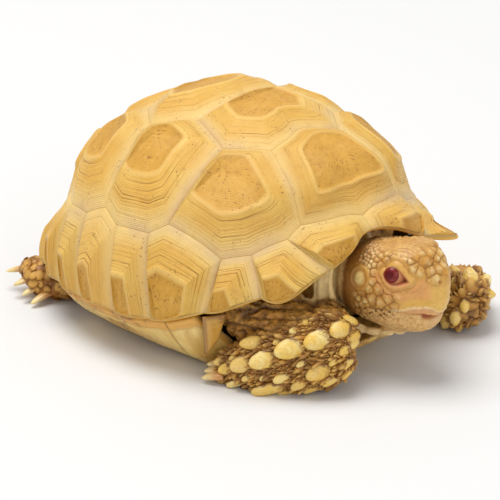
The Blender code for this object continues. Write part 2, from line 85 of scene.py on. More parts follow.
MIDLINE_FRONT = (0, 0.88)       # corners: (degrees from the front, share of the way to the rim)
V1_C1_V2 = (29, 0.36)
V1_C1_M1 = (25, 0.75)
V2_C1_C2 = (59, 0.33)
V2_C2_V3 = (89, 0.21)
V3_C2_C3 = (111, 0.32)
V3_C3_V4 = (147, 0.32)
V4_C3_C4 = (147, 0.45)
V4_C4_V5 = (163, 0.54)
V5_C4_M10 = (149, 0.815)
C1_C2_M4 = (74, 0.66)
C2_C3_M6 = (97, 0.67)
C3_C4_M8 = (121, 0.70)
MARGINAL_TOPS = ((31, 0.79), (44, 0.81), (54, 0.80), (80, 0.70), (91, 0.71), (104, 0.72),
                 (114, 0.725), (126, 0.755), (138, 0.785), (153, 0.835), (168, 0.85))
MARGINAL_RIMS = (19, 41, 58, 75, 87, 98, 109, 121, 135, 150, 167)

# Each plate grows round its first plate, the areola: where that lies, and its share of the plate
VERTEBRAL_AREOLAS = {1: ((0, 0.50), 0.60), 2: ((0, 0.06), 0.56), 3: ((180, 0.21), 0.54),
                     4: ((180, 0.44), 0.50), 5: ((180, 0.68), 0.50)}
COSTAL_AREOLAS = {1: ((57, 0.44), 0.54), 2: ((98, 0.36), 0.48), 3: ((128, 0.42), 0.48),
                  4: ((146, 0.55), 0.50)}
SCALLOPS = (0.0, 2.3, 0.6, 0.3, 0.3, 0.3, 0.4, 0.7, 0.9, 0.9, 0.9)     # mm, marginals 1 to 11
MARGINAL_AREOLA_TURN = 0.88     # how far back along its rim a marginal's areola lies
MARGINAL_SHARES = (0.50, 0.44, 0.42, 0.55, 0.44, 0.40, 0.40, 0.42, 0.42, 0.42, 0.42)
RIM_ROUND = 0.35                # how far the rounded rim stands out past the plates' upper faces

# ---- Small tools


def linear(hex_colour):
    """An sRGB hex colour as linear RGBA."""
    parts = [int(hex_colour[i:i + 2], 16) / 255 for i in (1, 3, 5)]
    return (*[p / 12.92 if p <= 0.04045 else ((p + 0.055) / 1.055) ** 2.4 for p in parts], 1.0)


def smooth(value, start, end):
    """Ease from 0 at start to 1 at end."""
    t = np.clip((value - start) / (end - start), 0.0, 1.0)
    return t * t * (3.0 - 2.0 * t)


def bump(value, centre, width):
    """1 at the centre, falling off to both sides."""
    return np.exp(-(((value - centre) / width) ** 2))


def unit(vector):
    return vector / np.linalg.norm(vector)


def signed_power(value, power):
    return np.sign(value) * np.abs(value) ** power


def waves(points, size, seed):
    """Smooth noise between about -1 and 1 from a few crossed sine waves; size is in millimetres."""
    rng = np.random.default_rng(seed)
    total = np.zeros(len(points))
    for octave in (1.0, 1.7, 2.9):
        for _ in range(3):
            way = rng.normal(size=points.shape[1])
            way *= 2 * math.pi * octave / (size * np.linalg.norm(way))
            total += np.sin(points @ way + rng.uniform(0, 2 * math.pi)) / octave
    return total / 3.2


def store_number(mesh, key, values):
    """Keep a number for each point of a mesh, for its material."""
    layer = mesh.attributes.new(key, "FLOAT", "POINT")
    layer.data.foreach_set("value", np.asarray(values, dtype=np.float32))


def put_mesh(name, verts, faces, material, attributes=None, nodes=()):
    """Make a mesh piece from points in millimetres, with its per-vertex numbers, and register it."""
    mesh = bpy.data.meshes.new(name)
    mesh.from_pydata(np.asarray(verts, dtype=float) * MM, [], faces)
    for key, values in (attributes or {}).items():
        store_number(mesh, key, values)
    mesh.materials.append(material)
    mesh.shade_smooth()
    mesh.update()
    piece = bpy.data.objects.new(name, mesh)
    bpy.context.scene.collection.objects.link(piece)
    register_piece(piece, nodes)
    return piece


def register_piece(piece, nodes=()):
    """Tie a finished piece to the body, and hide the CAD nodes that it stands for."""
    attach(piece, "root")
    if nodes:
        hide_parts(*nodes)


def fix_normals(piece):
    """Turn all faces of a closed mesh outwards."""
    bpy.ops.object.select_all(action="DESELECT")
    bpy.context.view_layer.objects.active = piece
    piece.select_set(True)
    bpy.ops.object.mode_set(mode="EDIT")
    bpy.ops.mesh.select_all(action="SELECT")
    bpy.ops.mesh.normals_make_consistent(inside=False)
    bpy.ops.object.mode_set(mode="OBJECT")


def closed(rings):
    """The points of rings in one array, with a middle point before and after them to close the ends."""
    return np.concatenate((np.mean(rings[0], axis=0)[None], *rings, np.mean(rings[-1], axis=0)[None]))


def add_node(tree, kind, inputs=None, output=0, **settings):
    """Add a shader node with its settings and links; inputs are values, or sockets to link from."""
    node = tree.nodes.new("ShaderNode" + kind)
    for key, value in settings.items():
        setattr(node, key, value)
    for key, value in (inputs or {}).items():
        if isinstance(value, bpy.types.NodeSocket):
            tree.links.new(value, node.inputs[key])
        else:
            node.inputs[key].default_value = value
    return node.outputs[output]


def new_material(name, roughness, ior=1.5, specular=0.5, scatter=None, numbers=(), blotches=None):
    """A material, its node tree and shader, and the marks that its colours and bumps follow.

    scatter is the share of light that goes in under the surface, how far its red, green and blue
    go, and how deep in mm. numbers are the names of values on the mesh's points. A blotch is its
    size in mm, its detail and its roughness, in object coordinates.
    """
    material = bpy.data.materials.new(name)
    material.use_nodes = True
    tree = material.node_tree
    shader = tree.nodes["Principled BSDF"]
    finish = {"Roughness": roughness, "IOR": ior, "Specular IOR Level": specular}
    if scatter:
        finish["Subsurface Weight"], finish["Subsurface Radius"], depth = scatter
        finish["Subsurface Scale"] = depth * MM
    for key, value in finish.items():
        shader.inputs[key].default_value = value
    marks = {key: add_node(tree, "Attribute", output="Fac", attribute_name=key) for key in numbers}
    for key, (size, detail, coarse) in (blotches or {}).items():
        place = add_node(tree, "TexCoord", output="Object")
        marks[key] = add_node(tree, "TexNoise", {"Vector": place, "Scale": 1 / (2 * size * MM),
                                                 "Detail": detail, "Roughness": coarse})
    return material, tree, shader, marks


def lay_colours(tree, marks, colour, *layers):
    """Lay colours over a first one; returns the socket of the last.

    A layer is its colour, its strength and the marks that limit it, each with the values at which
    it starts and is full, or alone. Colours are hex values, linear colours or sockets.
    """
    colour = linear(colour) if isinstance(colour, str) else colour
    for over, share, *limits in layers:
        for key, *ends in limits:
            if ends:
                share = add_node(tree, "MapRange", {0: marks[key], 1: ends[0], 2: ends[1], 4: share},
                                 interpolation_type="SMOOTHSTEP")
            else:
                share = add_node(tree, "Math", {0: marks[key], 1: share}, operation="MULTIPLY")
        over = linear(over) if isinstance(over, str) else over
        colour = add_node(tree, "Mix", {0: share, 6: colour, 7: over}, 2, data_type="RGBA")
    return colour


def finish_material(tree, shader, colour, *bumps):
    """Link the shader's colour, and its bumps one over another: height, depth in mm, strength."""
    tree.links.new(colour, shader.inputs["Base Color"])
    normal = None
    for height, depth, strength in bumps:
        inputs = {"Height": height, "Distance": depth * MM, "Strength": strength}
        if normal is not None:
            inputs["Normal"] = normal
        normal = add_node(tree, "Bump", inputs)
    if normal is not None:
        tree.links.new(normal, shader.inputs["Normal"])


# ---- The dome


def interpolate(xs, ys, at, level_ends=False):
    """Smooth curve through (xs, ys) by cubic interpolation; ys may have several columns."""
    ys = np.asarray(ys, dtype=float).reshape(len(xs), -1)
    slopes = np.zeros_like(ys)
    slopes[1:-1] = (ys[2:] - ys[:-2]) / (xs[2:] - xs[:-2])[:, None]
    if not level_ends:
        slopes[0] = (ys[1] - ys[0]) / (xs[1] - xs[0])
        slopes[-1] = (ys[-1] - ys[-2]) / (xs[-1] - xs[-2])
    i = np.clip(np.searchsorted(xs, at, "right") - 1, 0, len(xs) - 2)
    width = (xs[i + 1] - xs[i])[:, None]
    t = (np.asarray(at)[:, None] - xs[i][:, None]) / width
    return ((2 * t**3 - 3 * t**2 + 1) * ys[i] + (t**3 - 2 * t**2 + t) * width * slopes[i]
            + (3 * t**2 - 2 * t**3) * ys[i + 1] + (t**3 - t**2) * width * slopes[i + 1])


def front_angle(disk_points):
    """Degrees of each disk point from the front, counted the same to both sides."""
    return np.abs(np.degrees(np.arctan2(disk_points[:, 0], disk_points[:, 1])))


def scallop(disk_points):
    """How far, in millimetres, each marginal bulges past the straight line between its seams."""
    angle = front_angle(disk_points)
    seams = np.array((0, *MARGINAL_RIMS))
    k = np.clip(np.searchsorted(seams, angle, "right") - 1, 0, len(SCALLOPS) - 1)
    share = np.clip((angle - seams[k]) / (seams[k + 1] - seams[k]), 0, 1)
    size = np.array(SCALLOPS)[k] * ((disk_points[:, 0] > 0) | (k > 1))     # the left second one flares
    return size * np.sin(math.pi * share**1.8) * smooth(np.hypot(*disk_points.T), 0.84, 1.0)


def dome(disk_points):
    """Points of the mean carapace; disk points are (across, ahead), with 1 on the rim."""
    across, ahead = disk_points[:, 0], disk_points[:, 1]
    r = np.clip(np.hypot(across, ahead), 1e-5, 1.0)
    phi = np.arctan2(across, ahead)
    angle = front_angle(disk_points)
    x = -signed_power(np.sin(phi), 2 / PLAN_POWER) * SHELL_WIDTH / 2
    y = -signed_power(np.cos(phi), 2 / PLAN_POWER) * SHELL_LENGTH / 2
    x = x * (1 + REAR_WIDENING * y / (SHELL_LENGTH / 2))
    y = y + NOTCH_DEPTH * bump(angle, 0, NOTCH_HALF_ANGLE)
    z = interpolate(RIM_ANGLES, RIM_HEIGHTS, angle, level_ends=True)[:, 0]
    front, rear = 1 - smooth(angle, 25, 80), smooth(angle, 110, 165)
    power = SIDE_POWER + (FRONT_POWER - SIDE_POWER) * front + (REAR_POWER - SIDE_POWER) * rear
    out = np.sin(r * math.pi / 2) ** (2 / power)
    down = np.maximum(np.cos(r * math.pi / 2), 1e-9) ** (2 / power)
    flare = FRONT_FLARE * front + REAR_FLARE * rear
    out = out - np.where(r > 0.5, np.sin((r - 0.5) * 2 * math.pi) ** 2 * flare, 0.0)
    points = np.stack((x * out, APEX_Y * (1 - out) + y * out, z + (SHELL_HEIGHT - z) * down), -1)
    plan = points[:, :2] / np.maximum(np.linalg.norm(points[:, :2], axis=1, keepdims=True), 1.0)
    hang = np.concatenate((0.45 * plan, np.full((len(points), 1), -0.9)), axis=1)
    points = points + scallop(disk_points)[:, None] * hang
    return points + kick_share(disk_points)[:, None] * np.array(LEFT_KICK)


def kick_share(disk_points):
    """How far each disk point takes part in the flare of the left second marginal."""
    share = bump(front_angle(disk_points), LEFT_KICK_ANGLE, LEFT_KICK_WIDTH)
    return share * smooth(np.hypot(*disk_points.T), KICK_START, 1.0) * (disk_points[:, 0] < 0)


def dome_normal(disk_points):
    """Outward normals of the mean carapace."""
    step = 0.012
    r = np.hypot(disk_points[:, 0], disk_points[:, 1])
    inner = disk_points * np.minimum((1 - step) / np.maximum(r, 1e-9), 1.0)[:, None]
    u = dome(inner + (step, 0)) - dome(inner - (step, 0))
    v = dome(inner + (0, step)) - dome(inner - (0, step))
    normals = np.cross(u, v)
    normals /= np.linalg.norm(normals, axis=1, keepdims=True)
    away = -inner[:, 0] * normals[:, 0] - inner[:, 1] * normals[:, 1] + 0.5 * normals[:, 2]
    return normals * np.where(away < 0, -1.0, 1.0)[:, None]


def to_disk(corner):
    """Turn (degrees from the front, radius) into disk coordinates."""
    phi = math.radians(corner[0])
    return np.array((corner[1] * math.sin(phi), corner[1] * math.cos(phi)))


def wander(disk_points):
    """Let the seams and rings wander a little, as grown ones do; the rim stays where it is."""
    a, b = disk_points[:, 0], disk_points[:, 1]
    keep = 1 - (a * a + b * b) ** 4
    da = np.sin(7.3 * a + 2.1 * b + 0.4) + 0.6 * np.sin(13.0 * b - 11.0 * a + 1.7)
    db = np.sin(6.1 * b - 3.3 * a + 2.2) + 0.6 * np.sin(12.0 * a + 9.0 * b + 0.3)
    return disk_points + 0.0045 * np.stack((da * keep, db * keep), -1)


def mirror(corners):
    return [(-angle, r) for angle, r in reversed(corners)]


# ---- Shell plates


def plate_outline(corners, step=0.016):
    """Disk points round a plate, and whether each lies on the rim: straight sides, rim arcs."""
    points, on_rim = [], []
    for start, end in zip(corners, corners[1:] + corners[:1]):
        a, b = to_disk(start), to_disk(end)
        arc = start[1] == 1 and end[1] == 1
        count = max(2, round(float(np.linalg.norm(b - a)) / step))
        turn = (end[0] - start[0] + 180) % 360 - 180
        for k in range(count):
            t = k / count
            points.append(to_disk((start[0] + turn * t, 1)) if arc else a + (b - a) * t)
            on_rim.append(arc or start[1] == 1)
    return np.array(points), np.array(on_rim)


LIP_START = 0.84                # share of the areola where the rise to its lip begins
FIRST_RING, LAST_RING, RING_SPAN = 0.05, 0.84, 0.79     # shares of the way from areola to seam
RING_WIDTH = 0.152              # width of a groove, as a share of that way over the number of rings
PIT_SIZE, PIT_DEPTH = 0.9, 0.14     # mm, the pits of the areolas
AREOLA_SINK = 0.20              # mm that an areola lies under its lip
SWELL = 0.07                    # mm, the slow unevenness of the horn and the crease along the seams


def growth_steps(areola, rings):
    """Shares of the way from the focus to the seam at which a plate has a ring of points."""
    lip = areola * LIP_START
    parts = np.linspace(0, lip, 16), np.linspace(lip, areola, 7), np.linspace(areola, 1, rings + 1)
    return np.concatenate([part[1:] for part in parts])


def ring_groove(t, across, ridges, rng):
    """How deep in a growth groove each point lies, 0 to 1; t runs from the areola to the seam."""
    depth = np.zeros_like(t)
    edges = np.linspace(FIRST_RING, LAST_RING, ridges)
    edges = edges + rng.uniform(-0.35, 0.35, ridges) * RING_SPAN / ridges
    for edge in np.sort(edges):
        phase = rng.uniform(0, 6.28, 2)
        drift = 0.012 * np.sin(across * 2 + phase[0]) + 0.008 * np.sin(across * 5 + phase[1])
        weight = rng.uniform(0.30, 1.0) * (1 - 0.45 * smooth(edge, 0.6, 0.9))
        fade = 0.75 + 0.25 * np.sin(across * 3 + phase[1])
        depth = np.maximum(depth, weight * fade * bump(t - edge, drift, RING_WIDTH / ridges))
    return depth


def rim_relief(flat):
    """Share of the plates' relief that is left near the rim."""
    return 1 - (1 - RIM_RELIEF) * smooth(np.linalg.norm(flat, axis=1), RIM_START, 1.0)


def round_off(reach, focus):
    """Factor on each outline point's reach that rounds the corners of the rings inside."""
    if focus[1] > RIM_START:
        return np.ones_like(reach)
    count = len(reach)
    span = np.arange(count)
    away = np.minimum(np.abs(span[:, None] - span), count - np.abs(span[:, None] - span))
    weight = bump(away, 0, 0.028 * count)
    return (weight @ reach) / weight.sum(axis=1) / reach


def plate_grid(corners, focus, areola, ring_rows):
    """Disk points of a plate in rings round its focus; for each its share, reach and turn."""
    outline, on_rim = plate_outline(corners)
    centre = to_disk(focus)
    reach = np.linalg.norm(outline - centre, axis=1) * DISK_MM
    ways = (outline - centre) / np.maximum(reach / DISK_MM, 1e-6)[:, None]
    seam = outline.copy()
    seam[on_rim] = outline[on_rim] * (1 - RIM_ROUND / DISK_MM)
    shares = growth_steps(areola, ring_rows)
    rounding = round_off(reach, focus) - 1
    inner = 1 - smooth(shares, areola, areola + 0.5 * (1 - areola))
    ratio = (1 + inner[:, None] * rounding[None]) * shares[:, None]
    flat = wander((centre + (seam - centre) * ratio[..., None]).reshape(-1, 2))
    around = np.tile(np.unwrap(np.arctan2(ways[:, 0], ways[:, 1])), len(shares))
    return flat, np.repeat(shares, len(seam)), np.tile(reach, len(shares)), around, on_rim


def plate_relief(flat, points, g, reach, around, areola, settings, seed, rise, rng):
    """Height of each point over the mean dome, its growth, and how deep in a groove it lies."""
    t = (g - areola) / (1 - areola)
    ringed = (1 - areola) * reach
    drop = np.clip(t, 0, 1) ** 1.2 * smooth(reach, 1.0, 5.0)
    height = (rise - (rise + SEAM_SINK) * drop) * rim_relief(flat)
    groove = ring_groove(t, around, settings.ridges, rng) * (t > 0)
    spacing = ringed * 0.75 / settings.ridges
    height -= groove * np.minimum(settings.groove_depth, 0.42 * spacing)
    lip_width = np.minimum(0.75, 0.14 * reach) / np.maximum(reach, 0.5)
    lip = bump(g, areola * 0.97, lip_width) * (0.75 + 0.35 * np.sin(around * 3 + seed))
    height += settings.lip_height * lip * smooth(reach, 1.0, 4.0)
    pits = smooth(waves(points, PIT_SIZE, seed + 5), 0.45, 0.85) * smooth(-t, 0.04, 0.2)
    height -= AREOLA_SINK * smooth(-t, 0.04, 0.35) * smooth(reach, 2.0, 6.0) + PIT_DEPTH * pits
    height += SWELL * waves(points, 7.0, seed + 9) * (1 - smooth(t, 0.8, 1.0))
    height -= SWELL * smooth(t * ringed, ringed - 0.45, ringed) * smooth(reach, 1.0, 5.0)
    return height, np.where(t < 0, -(1 - g / areola), t), np.maximum(groove, pits * 0.8)


def shell_plate(name, corners, focus, areola, material, settings, seed, rise):
    """One plate: pitted areola with a raised lip, growth rings, smooth new edge, inner face."""
    rng = np.random.default_rng(seed)
    flat, g, reach, around, on_rim = plate_grid(corners, focus, areola, settings.ring_rows)
    points = dome(flat)
    height, growth, groove = plate_relief(flat, points, g, reach, around, areola, settings, seed,
                                          rise, rng)
    top = points + dome_normal(flat) * height[:, None]
    count = len(on_rim)
    edge_rows, edge_growth = plate_edge(flat[-count:], top[-count:], on_rim)
    inward = min(1.0, (1 - RIM_ROUND / DISK_MM) / max(focus[1], 1e-6))
    middle = wander(to_disk(focus)[None, :] * inward)
    highest = dome(middle) + dome_normal(middle) * rise * rim_relief(middle)[:, None]
    lowest = dome(middle) - dome_normal(middle) * SCUTE_THICKNESS
    verts = np.concatenate((highest, top, edge_rows, lowest))
    numbers = {
        "growth": np.concatenate(([-1.0], growth, edge_growth, [1.0])),
        "groove": np.concatenate(([0.0], groove, np.zeros(len(edge_rows) + 1))),
        "tone": np.full(len(verts), rng.uniform(-1, 1))}
    faces = plate_faces((len(verts) - 2) // count, count)
    put_mesh(name, verts, faces, material, numbers, [name])


def plate_edge(flat, top, on_rim):
    """Rows of points from a plate's outer edge round to its inner face."""
    normals = dome_normal(flat)
    r = np.linalg.norm(flat, axis=1, keepdims=True)
    outward = dome(flat) - dome(flat * (1 - 0.02 / r))
    outward -= normals * np.sum(outward * normals, axis=1, keepdims=True)
    outward /= np.maximum(np.linalg.norm(outward, axis=1, keepdims=True), 1e-9)
    base = dome(flat) - normals * SCUTE_THICKNESS * (1 - 0.62 * kick_share(flat))[:, None]
    rows = []
    for turn in np.linspace(0, math.pi, 8)[1:-1]:
        share = (1 - math.cos(turn)) / 2
        bulge = math.sin(turn) * RIM_ROUND * 1.6 * on_rim[:, None]
        rows.append(top + (base - top) * share + outward * bulge)
    rows.append(base)
    growth = np.tile(np.where(on_rim, 1.2, 1.0), len(rows))         # over 1 on the rounded rim
    centre = np.average(flat, axis=0)
    inner = centre + (flat - centre) * 0.5
    rows.append(dome(inner) - dome_normal(inner) * SCUTE_THICKNESS)
    return np.concatenate(rows), np.concatenate((growth, np.ones(len(flat))))


def plate_faces(rows, count):
    """A fan, bands between the rows of points, and a closing fan."""
    faces = []
    last = 1 + rows * count
    for i in range(count):
        j = (i + 1) % count
        faces.append((0, 1 + i, 1 + j))
        for k in range(rows - 1):
            low, high = 1 + k * count, 1 + (k + 1) * count
            faces.append((low + i, high + i, high + j, low + j))
        faces.append((last - count + i, last, last - count + j))
    return faces


def plate_layout():
    """Every plate of the carapace: name, corners, focus and areola share, right and left."""
    half = {
        1: [MIDLINE_FRONT, V1_C1_M1, V1_C1_V2], 2: [V1_C1_V2, V2_C1_C2, V2_C2_V3],
        3: [V2_C2_V3, V3_C2_C3, V3_C3_V4], 4: [V3_C3_V4, V4_C3_C4, V4_C4_V5],
        5: [V4_C4_V5, V5_C4_M10, MARGINAL_TOPS[9], MARGINAL_TOPS[10]]}
    costals = {
        1: [V1_C1_V2, V1_C1_M1, *MARGINAL_TOPS[0:3], C1_C2_M4, V2_C1_C2],
        2: [V2_C1_C2, C1_C2_M4, *MARGINAL_TOPS[3:5], C2_C3_M6, V3_C2_C3, V2_C2_V3],
        3: [V3_C2_C3, C2_C3_M6, *MARGINAL_TOPS[5:7], C3_C4_M8, V4_C3_C4, V3_C3_V4],
        4: [V4_C3_C4, C3_C4_M8, *MARGINAL_TOPS[7:9], V5_C4_M10, V4_C4_V5]}
    extra = {1: [V1_C1_M1], 4: [C1_C2_M4], 6: [C2_C3_M6], 8: [C3_C4_M8], 10: [V5_C4_M10]}
    tops = (MIDLINE_FRONT,) + MARGINAL_TOPS
    rims = (0,) + MARGINAL_RIMS
    plates = []
    for number, right in half.items():
        left = mirror(right)[:-1] if number == 1 else mirror(right)
        plates.append((f"vertebral_{number}", right + left, *VERTEBRAL_AREOLAS[number]))
    for side, sign, flip in (("right", 1, list), ("left", -1, mirror)):
        for number, corners in costals.items():
            (angle, r), share = COSTAL_AREOLAS[number]
            plates.append((f"costal_{number}_{side}", flip(corners), (sign * angle, r), share))
        for number in range(1, 12):
            low, high = rims[number - 1], rims[number]
            corners = [tops[number - 1], *extra.get(number, []), tops[number], (high, 1), (low, 1)]
            focus = (sign * (low + (high - low) * MARGINAL_AREOLA_TURN), 0.985)
            plates.append((f"marginal_{number:02d}_{side}", flip(corners), focus,
                           MARGINAL_SHARES[number - 1]))
    last, rim = MARGINAL_TOPS[-1], MARGINAL_RIMS[-1]
    plates.append(("supracaudal", [last, (-last[0], last[1]), (-rim, 1), (rim, 1)], (180, 0.97), 0.45))
    return plates


SHELL_BLOTCHES = {              # size in mm, detail, roughness
    "blotch": (5.0, 4.0, 0.55), "mottle": (0.7, 4.0, 0.70), "grain": (0.35, 3.0, 0.55),
    "drift": (9.0, 2.0, 0.55), "streak": (1.1, 5.0, 0.70), "dirt": (2.4, 3.0, 0.55),
    "speck": (0.30, 2.0, 0.55), "cloud": (4.5, 2.0, 0.55), "wear": (3.0, 3.0, 0.55)}


def shell_horn(settings, colours):
    """Keratin of an ivory carapace, grown in rings: waxy, tan areolas, cream at the seams."""
    material, tree, shader, marks = new_material(
        "ivory_carapace_keratin", 0.42, 1.54, 0.3, (0.06, (1.0, 0.55, 0.25), 0.6),
        ("growth", "groove", "tone"), SHELL_BLOTCHES)
    marks["ragged"] = add_node(tree, "Math", {0: marks["blotch"], 1: 0.24, 2: marks["growth"]},
                               operation="MULTIPLY_ADD")
    steps = add_node(tree, "CombineXYZ", {"X": marks["growth"]})
    marks["rings"] = add_node(tree, "TexWave", {"Vector": steps, "Scale": 9.0, "Distortion": 0.6,
                                                "Detail": 2.0}, "Fac")
    areola = lay_colours(tree, marks, colours.areola, ("#c48f2e", 1.0, ("blotch", 0.35, 0.7)),
                         ("#ad7a2c", 0.42, ("mottle", 0.50, 0.72)),
                         ("#e9bd68", 0.40, ("mottle", 0.46, 0.28)))
    rings = lay_colours(tree, marks, colours.rings, ("#ecc464", 1.0, ("blotch", 0.3, 0.7)))
    colour = lay_colours(
        tree, marks, areola, (rings, 1.0, ("ragged", -0.04, 0.22)),
        ("#e9c578", 0.45, ("growth", -0.15, -0.06), ("growth", 0.05, 0.0)),     # the areola's lip
        (colours.edges, 1.0, ("ragged", 0.52, 1.07)),
        ("#d9bd92", 0.70, ("ragged", 0.78, 1.10), ("drift", 0.44, 0.58)),       # lilac new growth
        ("#bd8a3c", 0.42, ("rings",), ("growth", 0.02, 0.12)),
        ("#bd8c42", 0.35, ("growth", 0.02, 0.12), ("streak", 0.5, 0.75)),
        ("#865222", 0.90, ("groove", 0.2, 0.85), ("dirt", 0.32, 0.52)),
        ("#6e4220", 0.85, ("speck", 0.64, 0.70), ("cloud", 0.46, 0.60)),
        ("#e2ab42", 1.0, ("growth", 1.02, 1.15)),                               # the rim's edge
        ("#e6b263", 0.22, ("tone", -1.0, 1.0)))
    finish_material(tree, shader, colour, (marks["rings"], 0.07, 0.6), (marks["mottle"], 0.12, 0.5),
                    (marks["grain"], 0.05, 0.45))
    gloss = {0: marks["wear"], 1: 0.3, 2: 0.7, 3: settings.gloss - 0.06, 4: settings.gloss + 0.12}
    rough = add_node(tree, "MapRange", gloss, interpolation_type="SMOOTHSTEP")
    tree.links.new(rough, shader.inputs["Roughness"])
    return material


def colour_property(name, description, hex_colour):
    """A colour that the user can change, with its default as an sRGB hex value."""
    return FloatVectorProperty(name=name, description=description, default=linear(hex_colour),
                               size=4, subtype="COLOR", min=0.0, max=1.0)


class TortoiseColours(bpy.types.PropertyGroup):
    areola: colour_property("Areolas", "The first plate, in the middle of each scute", "#d5a03c")
    rings: colour_property("Growth rings", "The ridged horn round the areolas", "#e2b04e")
    edges: colour_property("New growth", "The pale edges along the seams", "#f2d48a")
    plastron: colour_property("Plastron", "The belly plates", "#dcb45c")
    leg_scales: colour_property("Leg scales", "The large scales of the forelegs", "#eec860")
    claws: colour_property("Claws", "The claws toward their tips", "#efd898")
    iris: colour_property("Iris", "The eyes round the pupil", "#701e1e")
    floor: colour_property("Floor", "The paper that the tortoise rests on", "#e2e2e2")


class TortoiseShellSettings(bpy.types.PropertyGroup):
    ridges: IntProperty(name="Growth ridges", description="Growth rings on each large plate",
                        default=12, min=3, max=16)
    ring_rows: IntProperty(name="Rows of points", description="Rows of points across a plate's rings",
                           default=64, min=16, max=90)
    groove_depth: FloatProperty(name="Groove depth", description="Depth of the growth grooves, mm",
                                default=0.60, min=0.0, max=0.8)
    lip_height: FloatProperty(name="Areola lip", description="Height of the lip round an areola, mm",
                              default=0.36, min=0.0, max=0.6)
    gloss: FloatProperty(name="Horn roughness", description="Roughness of the horn",
                         default=0.42, min=0.1, max=1.0, subtype="FACTOR")


class TORTOISE_OT_carapace(bpy.types.Operator):
    """Model the vertebral, costal and marginal plates over the CAD's dome"""
    bl_idname = "tortoise.carapace"
    bl_label = "Carapace plates"

    def execute(self, context):
        settings = context.scene.tortoise_shell
        horn = shell_horn(settings, context.scene.tortoise_colours)
        for seed, (name, corners, focus, share) in enumerate(plate_layout()):
            rise = RISES.get(name.replace("_right", "").replace("_left", ""), AREOLA_RISE)
            shell_plate(name, corners, focus, share, horn, settings, seed * 11 + 3, rise)
        return {"FINISHED"}


# ---- Flesh: one skin over head, neck, trunk, legs and tail

HEAD_BACK = np.array((0.0, -41.5, 22.4))
HEAD_YAW = math.radians(15.0)
FORWARD = np.array((math.sin(HEAD_YAW), -math.cos(HEAD_YAW), 0.0))
RIGHT = np.array((-math.cos(HEAD_YAW), -math.sin(HEAD_YAW), 0.0))
UP = np.array((0.0, 0.0, 1.0))
HEAD_SECTIONS = np.array((      # ahead, half width, top, bottom
    (-3.0, 6.6, 5.6, -6.8), (0.0, 8.3, 7.2, -8.2), (3.0, 9.3, 8.5, -9.2), (7.5, 9.6, 9.0, -10.0),
    (12.0, 9.6, 9.8, -10.7), (15.5, 8.9, 10.2, -10.4), (18.5, 7.5, 8.9, -9.7),
    (20.04, 5.7, 7.4, -8.6), (20.77, 4.65, 6.4, -6.6), (21.56, 3.55, 6.0, -4.7),
    (22.2, 2.3, 5.3, -3.6), (22.9, 1.0, 4.7, -0.9)))
HEAD_POWER = 2.45               # 2 would make its sections ovals; more is squarer
EYE_PLACE = (12.9, 6.5, 4.75)   # ahead, out, up
EYE_RADIUS = 2.8
NECK_START = np.array((-0.5, -28.0, 19.0))
NECK_RADIUS = 8.6
TRUNK_SCALE = np.array((0.81, 0.70, 0.87))
TRUNK_FLOOR = 3.8
FOREARM_SECTIONS = np.array((   # along the forearm, half height, half thickness, clearance
    (-6.5, 4.6, 2.4, 6.8), (-4.0, 7.4, 4.4, 3.6), (1.5, 9.2, 5.6, 1.2), (8.0, 9.0, 5.7, 0.1),
    (14.5, 7.3, 5.0, 0.0), (20.0, 5.3, 4.1, 0.0), (24.5, 3.3, 3.0, 0.1)))
FORELEGS = {                    # elbow, headings of forearm and hand (0 = out, 90 = back), share of
    # the height and of the clearance, outward lean, shoulder, radius of the arm there and at the elbow
    "right": ((-15.8, -47.4), 47, 60, 1.0, 1.0, -0.15, (-20.0, -24.0, 15.5), 8.7, 5.9),
    "left": ((-31.0, -45.5), 52, 72, 0.66, 0.6, 0.2, (-20.0, -24.0, 17.5), 5.3, 4.3)}
HINDLEG_STATIONS = (            # centre, half width, half height
    ((-17.0, 22.0, 9.0), 6.2, 5.0), ((-22.0, 28.5, 6.0), 6.7, 5.0), ((-26.6, 32.9, 4.5), 6.9, 4.6),
    ((-30.0, 36.8, 4.5), 6.5, 4.5), ((-32.0, 39.0, 4.9), 5.7, 3.6), ((-33.2, 40.6, 5.7), 4.0, 2.1),
    ((-33.7, 41.3, 5.8), 1.8, 0.9))
LIMB_POWER = 2.3                # the same for the sections of the legs
SKIN_CLEARANCE = 0.15           # mm that the feet keep over the floor
TAIL_STATIONS = (((0.0, 30.0, 9.0), 4.4), ((1.5, 37.0, 8.0), 3.8), ((4.5, 41.5, 6.6), 2.8),
                 ((8.5, 43.5, 5.6), 1.8), ((11.5, 43.8, 5.2), 0.8))


def oval(centre, side, up, half_side, half_up, power=LIMB_POWER, count=48):
    """A ring of points on a superellipse."""
    a = 2 * math.pi * (np.arange(count) + 0.5) / count
    x = signed_power(np.cos(a), 2 / power)[:, None] * np.asarray(side) * half_side
    z = signed_power(np.sin(a), 2 / power)[:, None] * np.asarray(up) * half_up
    return np.asarray(centre) + x + z


def flesh_tube(name, rings):
    """A closed tube over rings of points, as a loose object for joining."""
    count = len(rings[0])
    faces = plate_faces(len(rings), count)
    mesh = bpy.data.meshes.new(name)
    mesh.from_pydata(closed(rings) * MM, [], faces)
    piece = bpy.data.objects.new(name, mesh)
    bpy.context.scene.collection.objects.link(piece)
    return piece


def spaced(table, count):
    """Rows between the rows of a table, smoothly."""
    steps = np.arange(len(table), dtype=float)
    return interpolate(steps, table, np.linspace(0, len(table) - 1, count))


def head_point(ahead, right, up):
    return HEAD_BACK + FORWARD * ahead + RIGHT * right + UP * up


def head_tube():
    rings = []
    for ahead, half, top, bottom in spaced(HEAD_SECTIONS, 40):
        centre = head_point(ahead, 0, (top + bottom) / 2)
        rings.append(oval(centre, RIGHT, UP, half, (top - bottom) / 2, HEAD_POWER, 56))
    return flesh_tube("head_flesh", rings)


